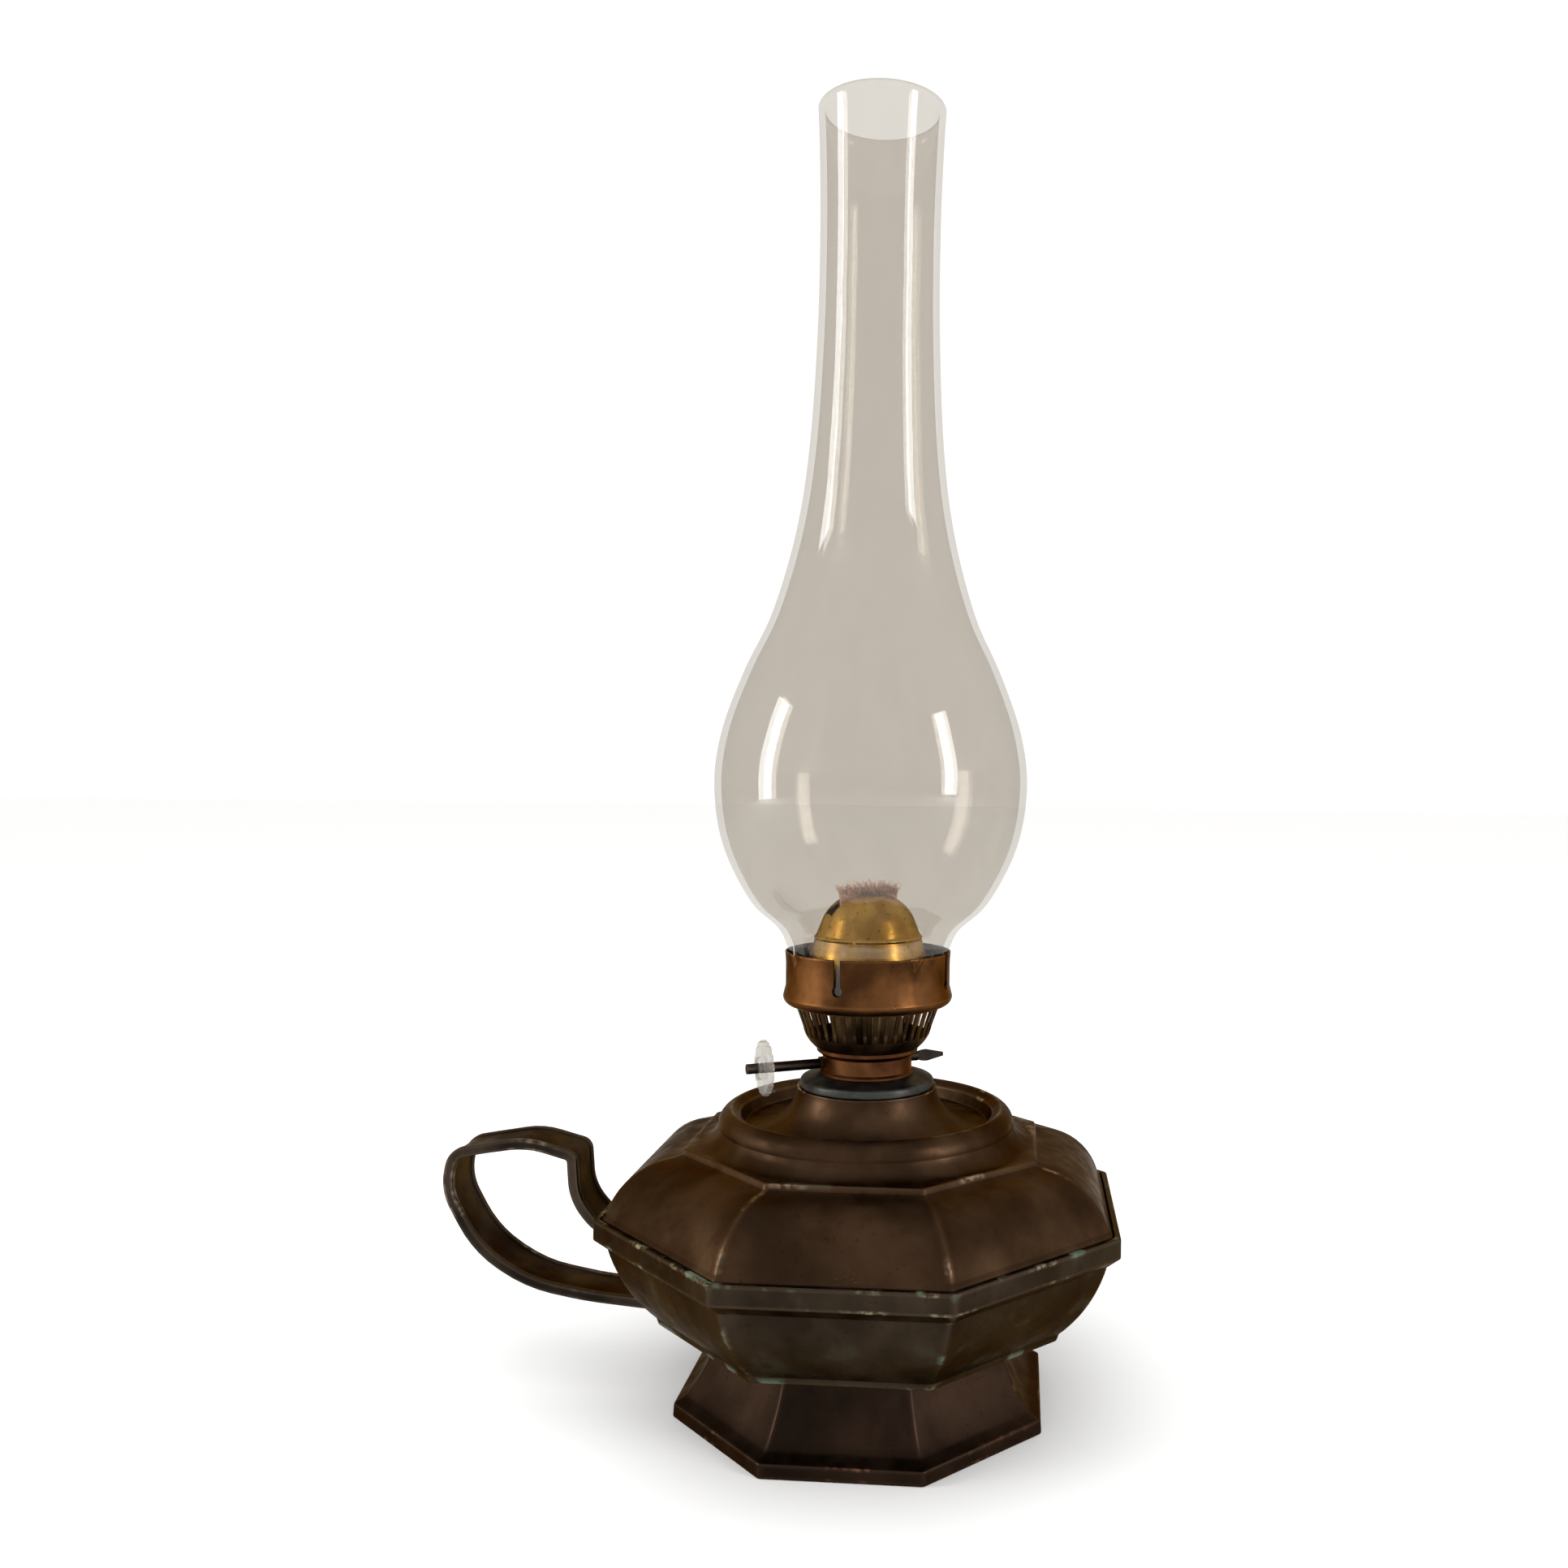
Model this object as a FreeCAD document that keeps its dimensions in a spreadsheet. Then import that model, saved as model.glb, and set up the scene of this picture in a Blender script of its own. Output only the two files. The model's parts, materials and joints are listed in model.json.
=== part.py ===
import FreeCAD, Part
import math
import os
import Sketcher
from FreeCAD import Placement, Rotation, Vector

# A small oil hand lamp: an octagonal metal tank on an octagonal foot, a strap handle, a flat wick
# burner screwed into a collar, and a glass chimney. Millimetres, +Z up, the lamp's axis is Z and the
# foot's underside is Z = 0. The octagon's flats face +X, -X, +Y and -Y. The handle is towards -X.
# A size that ends in "_flat" is half the distance across an octagon's flats.

SIZES = {
    # How far a tool runs past what it cuts
    "cut_past": 1.0,
    # Foot
    "foot_flat": 38.7,
    "foot_lip_flat": 38.5,
    "foot_lip_top": 2.8,
    "foot_step_flat": 36.5,
    "foot_step_top": 3.9,
    "foot_cove_flat": 35.9,
    "foot_cove_low": 4.4,
    "foot_cove_curve": 31.0,
    "foot_neck_flat": 29.3,
    "foot_wall": 1.8,
    "foot_deck": 1.6,
    "plate_flat": 36.4,
    "plate_thick": 1.0,
    "felt_thick": 1.2,
    # Fixing of the foot to the tank
    "stud_radius": 2.5,
    "stud_low": 11.5,
    "stud_head_radius": 6.0,
    "stud_head_thick": 1.0,
    "washer_radius": 6.5,
    "washer_thick": 1.0,
    "nut_flat": 4.0,
    "nut_thick": 3.5,
    "fixing_gap": 0.05,
    # Tank, lower half
    "tank_low": 19.8,
    "tank_edge_flat": 41.6,
    "bowl_low_flat": 42.1,
    "bowl_low": 21.3,
    "bowl_top_flat": 51.5,
    "bowl_top": 36.8,
    "bowl_curve": 34.0,
    "flange_flat": 54.2,
    "flange_low": 39.0,
    "flange_top": 43.1,
    "flange_lip_flat": 52.9,
    "seat_level": 42.4,
    "tank_wall": 1.6,
    # Tank, upper half
    "shoulder_flat": 51.9,
    "shoulder_low": 43.7,
    "shoulder_curve": 15.3,
    "shoulder_top_flat": 38.9,
    "shoulder_top": 54.7,
    "ridge_foot_flat": 37.5,
    "ridge_foot": 55.2,
    "ridge_flat": 37.0,
    "ridge_top": 56.3,
    "cove_radius": 36.3,
    "cove_curve": 4.6,
    "rim_side_radius": 32.3,
    "rim_side": 59.2,
    "rim_curve": 3.3,
    "rim_top_radius": 29.6,
    "rim_top": 63.0,
    "rim_inner_radius": 27.6,
    "rim_inner": 61.8,
    "rim_wall": 0.5,
    "dish_wall_radius": 26.6,
    "dish_radius": 24.2,
    "dish_level": 59.3,
    "cone_curve": 8.6,
    "cone_radius": 15.3,
    "cone_low": 67.0,
    "cone_top": 67.4,
    # Collar
    "socket_radius": 9.36,
    "barrel_radius": 10.88,
    "barrel_low": 61.0,
    "collar_hole_gap": 0.02,
    "collar_radius": 14.7,
    "collar_edge": 68.5,
    "collar_edge_curve": 0.9,
    "collar_shoulder_radius": 14.0,
    "collar_shoulder": 69.3,
    "collar_top_radius": 10.45,
    "collar_top": 70.3,
    # Screwed sleeve
    "sleeve_radius": 9.3,
    "sleeve_bore": 8.6,
    "sleeve_low": 61.6,
    "sleeve_top": 70.2,
    "thread_pitch": 1.8,
    "thread_turns": 4,
    "thread_depth": 0.3,
    "thread_width": 0.9,
    # Burner neck
    "neck_lip_radius": 10.35,
    "neck_lip_top": 70.7,
    "neck_radius": 9.8,
    "neck_low": 71.1,
    "neck_high": 74.2,
    "neck_bead_radius": 11.1,
    "neck_bead": 75.2,
    "neck_top": 76.0,
    # Basket
    "sheet": 0.45,
    "basket_low_radius": 11.4,
    "basket_heel_radius": 12.1,
    "basket_heel": 76.7,
    "basket_curve": 7.0,
    "basket_mid_radius": 14.2,
    "basket_mid": 80.6,
    "basket_top_radius": 15.9,
    "basket_top": 85.3,
    "basket_slots": 40,
    "slot_half": 0.75,
    "slot_low": 78.9,
    "slot_high": 84.9,
    # Gallery
    "gallery_floor_radius": 13.2,
    "gallery_heel_radius": 16.6,
    "gallery_heel_curve": 2.1,
    "gallery_curl_radius": 18.65,
    "gallery_curl": 87.2,
    "gallery_waist_radius": 18.05,
    "gallery_waist": 89.6,
    "gallery_neck": 94.8,
    "gallery_radius": 18.25,
    "gallery_top": 97.0,
    "gallery_slits": 4,
    "slit_half": 0.6,
    "slit_low": 91.0,
    "keyhole_radius": 0.85,
    "keyhole_level": 90.4,
    "slit_azimuth": -104.5,
    # Diffuser
    "diffuser_radius": 15.5,
    "diffuser_thick": 0.4,
    "air_ring_inner": 10.3,
    "air_ring_outer": 13.1,
    "air_hole_radius": 0.75,
    "air_holes_inner": 16,
    "air_holes_outer": 22,
    # Flame dome
    "dome_foot_radius": 15.1,
    "dome_skirt_radius": 14.5,
    "dome_shoulder_radius": 12.8,
    "dome_shoulder": 96.3,
    "dome_bead_low_radius": 11.8,
    "dome_bead_low": 99.6,
    "dome_bead_radius": 11.95,
    "dome_bead": 100.1,
    "dome_bead_top_radius": 11.45,
    "dome_bead_top": 100.6,
    "dome_side_radius": 10.5,
    "dome_side": 103.0,
    "dome_side_curve": 9.8,
    "crown_radius": 4.6,
    "crown": 109.1,
    "crown_curve": 22.0,
    "dome_top": 109.6,
    "dome_slot_half": 2.2,
    "dome_slot_reach": 9.4,
    # Wick and its tube
    "wick_half": 6.75,
    "wick_half_thick": 1.15,
    "wick_low": 33.5,
    "wick_top": 112.8,
    "tube_half": 7.6,
    "tube_half_thick": 2.0,
    "tube_wall": 0.35,
    "tube_low": 62.5,
    "tube_top": 104.6,
    "window_half": 0.75,
    "window_half_high": 2.4,
    "burner_azimuth": 27.5,
    # Burner floor and vent tube
    "floor_radius": 8.55,
    "floor_low": 66.0,
    "floor_thick": 0.6,
    "vent_offset": 5.2,
    "vent_radius": 1.2,
    "vent_bore": 0.8,
    "vent_low": 59.0,
    "vent_top": 83.5,
    # Wick raiser
    "spindle_level": 71.9,
    "spindle_offset": 3.9,
    "spindle_radius": 1.1,
    "spindle_near": 26.3,
    "spindle_far": 13.6,
    "leaf_long": 6.4,
    "leaf_half": 1.25,
    "leaf_half_thick": 0.4,
    "leaf_root": 1.0,
    "sprocket_place": 3.6,
    "sprocket_thick": 0.8,
    "sprocket_root": 1.9,
    "sprocket_tip": 2.7,
    "sprocket_teeth": 8,
    "tooth_half": 0.45,
    "tooth_point_half": 0.1,
    "knob_place": 22.9,
    "knob_radius": 6.0,
    "knob_thick": 1.2,
    "knob_hub_radius": 2.4,
    "knob_hub_thick": 2.3,
    "knob_scallops": 16,
    "scallop_radius": 0.55,
    "scallop_outset": 0.1,
    "bush_radius": 1.5,
    "bush_gap": 0.05,
    "bush_inner": 7.2,
    "bush_outer": 9.75,
    # Chimney
    "glass": 1.5,
    "chimney_low": 86.35,
    "chimney_lean": 0.42,
    # Handle
    "strap_half": 6.0,
    "strap_thick": 1.5,
    "strap_edge": 1.3,
    "strap_rib": 0.35,
}

# The chimney's outer line from its seat to its mouth, as (radius, height) stations.
CHIMNEY_LINE = [
    (17.4, 96.6), (19.9, 101.9), (26.2, 108.0), (32.2, 120.0), (34.3, 133.0), (32.8, 145.0),
    (28.2, 158.0), (22.3, 171.0), (17.4, 189.0), (14.8, 208.0), (13.5, 233.0), (13.3, 256.0),
    (13.7, 273.0), (14.15, 282.3),
]

# The strap's middle line in the plane Y = 0, as (X, Z, bend radius), from the bowl's side round to
# the place under the flange.
STRAP_LINE = [
    (-41.2, 18.9, 0.0), (-60.0, 20.3, 90.0), (-74.5, 22.9, 31.0), (-86.0, 30.2, 25.0),
    (-93.2, 42.8, 11.5), (-91.6, 50.8, 3.9), (-84.0, 52.2, 80.0), (-75.0, 53.7, 19.0),
    (-64.6, 51.0, 1.8), (-63.9, 41.5, 12.0), (-58.2, 34.9, 10.0), (-48.6, 33.4, 0.0),
]


def amount(text):
    """The number that a sum of size names and plain numbers comes to."""
    total = 0.0
    sign = 1
    for word in text.split():
        if word in "+-":
            sign = 1 if word == "+" else -1
        else:
            total += sign * (SIZES[word] if word in SIZES else float(word))
            sign = 1
    return total


def bound(text):
    """The same sum as an expression that reads the spreadsheet."""
    words = ["Sizes." + word if word in SIZES else word for word in text.split()]
    return " ".join(words)


def opposite(text):
    """The same sum with every sign turned round, so that it comes to minus the number."""
    words = text.split()
    if words[0] not in ("+", "-"):
        words.insert(0, "+")
    turned = [{"+": "-", "-": "+"}.get(word, word) for word in words]
    return " ".join(turned[1:] if turned[0] == "+" else turned)


doc = FreeCAD.newDocument("OilHandLamp")
sheet = doc.addObject("Spreadsheet::Sheet", "Sizes")
for row, (alias, value) in enumerate(SIZES.items(), start=1):
    sheet.set("A%d" % row, alias)
    sheet.set("B%d" % row, str(value))
    sheet.setAlias("B%d" % row, alias)
doc.recompute()

NODES = []


def finished(feature, label):
    """Keep a finished sub-part under its own label."""
    feature.Label = label
    NODES.append(feature)
    return feature


def curve_between(start, finish, radius, turn):
    """The arc from start to finish. Its centre is on the left where turn is 1, on the right where -1."""
    middle = (start + finish) / 2
    along = finish - start
    half = along.Length / 2
    side = Vector(-along.y, along.x, 0).normalize() * turn
    centre = middle + side * math.sqrt(max(radius * radius - half * half, 0.0))
    first, last = (start, finish) if turn > 0 else (finish, start)
    angles = [math.atan2(point.y - centre.y, point.x - centre.x) for point in (first, last)]
    return Part.ArcOfCircle(Part.Circle(centre, Vector(0, 0, 1), radius), angles[0], angles[1])


def draw(sketch, corners):
    """Draw a closed outline. A corner is (across, up), or (across, up, radius, turn) before an arc."""
    places = [Vector(amount(corner[0]), amount(corner[1]), 0) for corner in corners]
    first = sketch.GeometryCount
    ends = []
    for index, corner in enumerate(corners):
        start = places[index]
        finish = places[(index + 1) % len(places)]
        if len(corner) == 2:
            sketch.addGeometry(Part.LineSegment(start, finish), False)
            ends.append((1, 2))
        else:
            sketch.addGeometry(curve_between(start, finish, amount(corner[2]), corner[3]), False)
            ends.append((1, 2) if corner[3] > 0 else (2, 1))
    rules = []
    reasons = []
    for index, corner in enumerate(corners):
        edge = first + index
        after = (index + 1) % len(corners)
        rules.append(Sketcher.Constraint("Coincident", edge, ends[index][1], first + after, ends[after][0]))
        reasons.append(None)
        for kind, axis, text in (("DistanceX", -2, corner[0]), ("DistanceY", -1, corner[1])):
            if text == "0":
                rules.append(Sketcher.Constraint("PointOnObject", edge, ends[index][0], axis))
                reasons.append(None)
            else:
                rules.append(Sketcher.Constraint(kind, -1, 1, edge, ends[index][0], amount(text)))
                reasons.append(text)
        if len(corner) > 2:
            rules.append(Sketcher.Constraint("Radius", edge, amount(corner[2])))
            reasons.append(corner[2])
    bind(sketch, rules, reasons)


def circle(sketch, radius, across="0", up="0"):
    """Draw a circle about a point of the sketch."""
    edge = sketch.GeometryCount
    centre = Vector(amount(across), amount(up), 0)
    sketch.addGeometry(Part.Circle(centre, Vector(0, 0, 1), amount(radius)), False)
    rules = [Sketcher.Constraint("Radius", edge, amount(radius))]
    reasons = [radius]
    for kind, axis, text in (("DistanceX", -2, across), ("DistanceY", -1, up)):
        if text == "0":
            rules.append(Sketcher.Constraint("PointOnObject", edge, 3, axis))
            reasons.append(None)
        else:
            rules.append(Sketcher.Constraint(kind, -1, 1, edge, 3, amount(text)))
            reasons.append(text)
    bind(sketch, rules, reasons)


def bind(sketch, rules, reasons):
    """Add the constraints, and tie each dimension to the spreadsheet."""
    first = sketch.ConstraintCount
    sketch.addConstraint(rules)
    for index, text in enumerate(reasons):
        if text is not None:
            sketch.setExpression("Constraints[%d]" % (first + index), bound(text))


def box_corners(half_across, low, high):
    """A rectangle's corners, equal on both sides of the upright axis."""
    left = opposite(half_across)
    return [(left, low), (half_across, low), (half_across, high), (left, high)]


def origin_part(body, role):
    """One of a body's own origin planes or axes."""
    return next(item for item in body.Origin.OriginFeatures if item.Role == role)


def sketch_in(body, role, name, level=None):
    """A sketch on one of the body's origin planes, or a distance in front of it."""
    sketch = body.newObject("Sketcher::SketchObject", name)
    sketch.AttachmentSupport = [(origin_part(body, role), "")]
    sketch.MapMode = "FlatFace"
    if level is not None:
        sketch.setExpression(".AttachmentOffset.Base.z", bound(level))
    return sketch


def new_body(name):
    return doc.addObject("PartDesign::Body", name)


def revolve(body, corners, name="Turned"):
    """Turn a half section about the body's upright axis."""
    sketch = sketch_in(body, "XZ_Plane", name + "Section")
    draw(sketch, corners)
    feature = body.newObject("PartDesign::Revolution", name)
    feature.Profile = sketch
    feature.ReferenceAxis = (sketch, ["V_Axis"])
    feature.Angle = 360.0
    doc.recompute()
    return feature


def pad(body, drawer, level, length, name="Plate"):
    """Raise a plan shape from a level by a length. drawer draws it in the sketch."""
    sketch = sketch_in(body, "XY_Plane", name + "Plan", level)
    drawer(sketch)
    feature = body.newObject("PartDesign::Pad", name)
    feature.Profile = sketch
    feature.setExpression("Length", bound(length))
    doc.recompute()
    return feature


# The least volume a cut must take away, in cubic millimetres, for it to count as a cut.
SMALLEST_CUT = 0.000001


def cut_through(body, role, drawer, name, one_way=False):
    """Cut a shape through the body, both ways, or only towards the plane's front."""
    before = body.Shape.Volume
    sketch = sketch_in(body, role, name + "Plan")
    drawer(sketch)
    feature = body.newObject("PartDesign::Pocket", name)
    feature.Profile = sketch
    feature.Type = 1
    if one_way:
        feature.Reversed = True
    else:
        feature.Midplane = True
    doc.recompute()
    if body.Shape.Volume > before - SMALLEST_CUT:
        raise ValueError(name + " cuts nothing")
    return feature


def around(body, feature, count):
    """Repeat a feature evenly about the body's upright axis."""
    pattern = body.newObject("PartDesign::PolarPattern", feature.Name + "Ring")
    pattern.Originals = [feature]
    pattern.Axis = (origin_part(body, "Z_Axis"), [""])
    pattern.Angle = 360.0
    pattern.setExpression("Occurrences", bound(count))
    body.Tip = pattern
    doc.recompute()
    return pattern


# Longer than the tank is wide, so that each slab runs past the octagon it helps to cut.
SLAB_LENGTH = 150.0
# Lengths nearer than this are the same length.
SAME_LENGTH = 0.001


def octagonal(name, side):
    """A solid whose level sections are octagons: one section in four directions, and what they share.

    side is the half section's outline from its lowest point on the axis to its highest.
    """
    left = [(opposite(corner[0]),) + corner[1:] for corner in reversed(side)]
    for index, corner in enumerate(left):
        shape = side[len(side) - 2 - index][2:] if index < len(side) - 1 else ()
        left[index] = (corner[0], corner[1]) + tuple(shape)
    sketch = doc.addObject("Sketcher::SketchObject", name + "Section")
    sketch.Placement = Placement(Vector(0, 0, 0), Rotation(Vector(1, 0, 0), 90))
    draw(sketch, list(side) + left)
    slabs = []
    for quarter in range(4):
        slab = doc.addObject("Part::Extrusion", "%sSlab%d" % (name, quarter))
        slab.Base = sketch
        slab.DirMode = "Custom"
        slab.Dir = Vector(0, 1, 0)
        slab.LengthFwd = SLAB_LENGTH
        slab.Symmetric = True
        slab.Solid = True
        slab.Placement = Placement(Vector(0, 0, 0), Rotation(Vector(0, 0, 1), 45 * quarter))
        slabs.append(slab)
    common = doc.addObject("Part::MultiCommon", name)
    common.Shapes = slabs
    doc.recompute()
    widest = max(amount(corner[0]) for corner in side)
    box = common.Shape.BoundBox
    for reach in (-box.XMin, box.XMax, -box.YMin, box.YMax):
        if abs(reach - widest) > SAME_LENGTH:
            raise ValueError("%s reaches %.4f and not %.4f" % (name, reach, widest))
    return common


def joined(name, *features):
    """Several features as one."""
    fuse = doc.addObject("Part::MultiFuse", name)
    fuse.Shapes = list(features)
    doc.recompute()
    return fuse


def less(name, base, tool):
    """A base with a tool taken away."""
    cut = doc.addObject("Part::Cut", name)
    cut.Base = base
    cut.Tool = tool
    doc.recompute()
    return cut


def cylinder(name, radius, low, length):
    """A Part cylinder on the lamp's axis."""
    feature = doc.addObject("Part::Cylinder", name)
    feature.setExpression("Radius", bound(radius))
    feature.setExpression("Height", bound(length))
    feature.Placement = Placement(Vector(0, 0, amount(low)), Rotation())
    return feature


def turned_body(label, corners):
    """A sub-part that is one turned section."""
    body = new_body(label)
    revolve(body, corners)
    return finished(body, label)


# Foot: a hollow casting, closed below by a plate and a felt pad.
foot_outside = octagonal("FootOutside", [
    ("foot_flat", "0"),
    ("foot_lip_flat", "foot_lip_top"),
    ("foot_step_flat", "foot_step_top"),
    ("foot_cove_flat", "foot_cove_low", "foot_cove_curve", -1),
    ("foot_neck_flat", "tank_low"),
])
foot_inside = octagonal("FootInside", [
    ("plate_flat", "0"),
    ("plate_flat", "felt_thick + plate_thick"),
    ("foot_cove_flat - foot_wall", "felt_thick + plate_thick"),
    ("foot_cove_flat - foot_wall", "foot_cove_low", "foot_cove_curve", -1),
    ("foot_neck_flat - foot_wall", "tank_low - foot_deck"),
])
stud_way = cylinder("StudWay", "stud_radius + fixing_gap", "foot_cove_low", "bowl_top")
foot_shell = less("FootShell", foot_outside, foot_inside)
finished(less("FootBored", foot_shell, stud_way), "foot")

base_plate = octagonal("BasePlate", [
    ("plate_flat", "felt_thick"),
    ("plate_flat", "felt_thick + plate_thick"),
])
finished(base_plate, "base_plate")
felt_pad = octagonal("FeltPad", [("plate_flat", "0"), ("plate_flat", "felt_thick")])
finished(felt_pad, "felt_pad")

# Tank: a bowl and a shoulder that meet inside the flange.
bowl_outside = octagonal("BowlOutside", [
    ("tank_edge_flat", "tank_low"),
    ("bowl_low_flat", "bowl_low", "bowl_curve", 1),
    ("bowl_top_flat", "bowl_top"),
    ("flange_flat", "flange_low"),
    ("flange_flat", "flange_top"),
])
bowl_inside = octagonal("BowlInside", [
    ("tank_edge_flat - tank_wall", "tank_low + tank_wall"),
    ("bowl_low_flat - tank_wall", "bowl_low + tank_wall", "bowl_curve", 1),
    ("bowl_top_flat - tank_wall", "bowl_top"),
    ("bowl_top_flat - tank_wall", "seat_level"),
    ("bowl_top_flat - tank_wall", "flange_top + cut_past"),
])
flange_seat = octagonal("FlangeSeat", [
    ("flange_lip_flat", "seat_level"),
    ("flange_lip_flat", "flange_top + cut_past"),
])
bowl_shell = less("BowlShell", bowl_outside, joined("BowlHollow", bowl_inside, flange_seat))
stud_hole = cylinder("StudHole", "stud_radius + fixing_gap", "tank_low - cut_past",
                     "tank_wall + cut_past + cut_past")
finished(less("BowlBored", bowl_shell, stud_hole), "font_lower")

shoulder_outside = octagonal("ShoulderOutside", [
    ("shoulder_flat", "seat_level"),
    ("shoulder_flat", "shoulder_low", "shoulder_curve", 1),
    ("shoulder_top_flat", "shoulder_top"),
    ("ridge_foot_flat", "ridge_foot"),
    ("ridge_flat", "ridge_top"),
])
shoulder_inside = octagonal("ShoulderInside", [
    ("shoulder_flat - tank_wall", "seat_level"),
    ("shoulder_flat - tank_wall", "shoulder_low", "shoulder_curve", 1),
    ("shoulder_top_flat - tank_wall", "shoulder_top - tank_wall"),
    ("ridge_flat - tank_wall", "ridge_top - tank_wall"),
])
crown_outside = new_body("CrownOutside")
revolve(crown_outside, [
    ("0", "shoulder_top"),
    ("cove_radius", "shoulder_top"),
    ("cove_radius", "ridge_top", "cove_curve", -1),
    ("rim_side_radius", "rim_side", "rim_curve", 1),
    ("rim_top_radius", "rim_top"),
    ("rim_inner_radius", "rim_inner"),
    ("dish_wall_radius", "dish_level"),
    ("dish_radius", "dish_level", "cone_curve", -1),
    ("cone_radius", "cone_low"),
    ("cone_radius", "cone_top"),
    ("0", "cone_top"),
])
crown_inside = new_body("CrownInside")
revolve(crown_inside, [
    ("0", "shoulder_low"),
    ("cove_radius - tank_wall", "shoulder_low"),
    ("cove_radius - tank_wall", "ridge_top - tank_wall"),
    ("rim_side_radius - tank_wall", "rim_side - tank_wall"),
    ("rim_top_radius", "rim_top - tank_wall"),
    ("rim_inner_radius + rim_wall", "rim_inner - tank_wall"),
    ("dish_wall_radius + rim_wall", "dish_level - tank_wall"),
    ("dish_radius - tank_wall", "dish_level - tank_wall", "cone_curve", -1),
    ("cone_radius - tank_wall", "cone_low - tank_wall"),
    ("0", "cone_low - tank_wall"),
])
collar_hole = cylinder("CollarHole", "barrel_radius + collar_hole_gap", "barrel_low", "cone_top")
shoulder = joined("ShoulderWhole", shoulder_outside, crown_outside)
shoulder_hollow = joined("ShoulderHollow", shoulder_inside, crown_inside, collar_hole)
finished(less("ShoulderShell", shoulder, shoulder_hollow), "font_upper")

# Fixing of the foot: a stud through the bowl's floor, with a washer and a nut inside the foot.
turned_body("tank_stud", [
    ("0", "stud_low"),
    ("stud_radius", "stud_low"),
    ("stud_radius", "tank_low + tank_wall"),
    ("stud_head_radius", "tank_low + tank_wall"),
    ("stud_head_radius", "tank_low + tank_wall + stud_head_thick"),
    ("0", "tank_low + tank_wall + stud_head_thick"),
])
turned_body("foot_washer", [
    ("stud_radius + fixing_gap", "tank_low - foot_deck - washer_thick"),
    ("washer_radius", "tank_low - foot_deck - washer_thick"),
    ("washer_radius", "tank_low - foot_deck"),
    ("stud_radius + fixing_gap", "tank_low - foot_deck"),
])
nut = new_body("foot_nut")


def hexagon(sketch):
    """A hexagon with its flats towards +Y and -Y."""
    side = SIZES["nut_flat"] / math.cos(math.radians(30))
    places = [Vector(side * math.cos(math.radians(60 * k)), side * math.sin(math.radians(60 * k)), 0)
              for k in range(6)]
    for index, place in enumerate(places):
        sketch.addGeometry(Part.LineSegment(place, places[(index + 1) % 6]), False)
    rules = [Sketcher.Constraint("Coincident", k, 2, (k + 1) % 6, 1) for k in range(6)]
    rules += [Sketcher.Constraint("Equal", k, (k + 1) % 6) for k in range(5)]
    rules += [Sketcher.Constraint("Angle", k, 1, (k - 1) % 6, 2, math.radians(120)) for k in (1, 2, 3)]
    rules += [Sketcher.Constraint("PointOnObject", 0, 1, -1), Sketcher.Constraint("PointOnObject", 3, 1, -1)]
    sketch.addConstraint(rules)
    sketch.addConstraint(Sketcher.Constraint("DistanceY", -1, 1, 1, 1, SIZES["nut_flat"]))
    sketch.setExpression("Constraints[%d]" % (sketch.ConstraintCount - 1), bound("nut_flat"))


pad(nut, hexagon, "tank_low - foot_deck - washer_thick - nut_thick", "nut_thick")
cut_through(nut, "XY_Plane", lambda sketch: circle(sketch, "stud_radius + fixing_gap"), "NutBore")
finished(nut, "foot_nut")

# Collar: a barrel in the cone's hole with a domed flange on top.
turned_body("collar", [
    ("socket_radius", "barrel_low"),
    ("barrel_radius", "barrel_low"),
    ("barrel_radius", "cone_top"),
    ("collar_radius", "cone_top"),
    ("collar_radius", "collar_edge", "collar_edge_curve", 1),
    ("collar_shoulder_radius", "collar_shoulder"),
    ("collar_top_radius", "collar_top"),
    ("socket_radius", "collar_top"),
])

# Screwed sleeve: ring grooves stand for the rolled thread.
sleeve = new_body("screw_sleeve")
revolve(sleeve, [
    ("sleeve_bore", "sleeve_low"),
    ("sleeve_radius", "sleeve_low"),
    ("sleeve_radius", "sleeve_top"),
    ("sleeve_bore", "sleeve_top"),
])
groove_section = sketch_in(sleeve, "XZ_Plane", "GrooveSection")
draw(groove_section, [
    ("sleeve_radius - thread_depth", "sleeve_low + thread_width"),
    ("sleeve_radius + cut_past", "sleeve_low + thread_width"),
    ("sleeve_radius + cut_past", "sleeve_low + thread_width + thread_width"),
    ("sleeve_radius - thread_depth", "sleeve_low + thread_width + thread_width"),
])
groove = sleeve.newObject("PartDesign::Groove", "ThreadGroove")
groove.Profile = groove_section
groove.ReferenceAxis = (groove_section, ["V_Axis"])
groove.Angle = 360.0
doc.recompute()
thread = sleeve.newObject("PartDesign::LinearPattern", "Thread")
thread.Originals = [groove]
thread.Direction = (origin_part(sleeve, "Z_Axis"), [""])
thread.Mode = 1
thread.setExpression("Offset", bound("thread_pitch"))
thread.setExpression("Occurrences", bound("thread_turns"))
sleeve.Tip = thread
doc.recompute()
finished(sleeve, "screw_sleeve")

# Wick raiser: its axis runs beside the wick tube, along the wick's width.
BURNER_TURN = Rotation(Vector(0, 0, 1), SIZES["burner_azimuth"])


def burner_place(across=0.0, beside=0.0, level=0.0, own=Rotation()):
    """A placement in the burner's own directions: across the wick's width, and beside its face."""
    return Placement(BURNER_TURN.multVec(Vector(across, beside, level)), BURNER_TURN.multiply(own))


ALONG_SPINDLE = Rotation(Vector(0, 1, 0), 90)


def spindle_place(across):
    """A placement on the spindle's axis, with local Z along the axis towards its pointed end."""
    return burner_place(across, SIZES["spindle_offset"], SIZES["spindle_level"], ALONG_SPINDLE)


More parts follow.
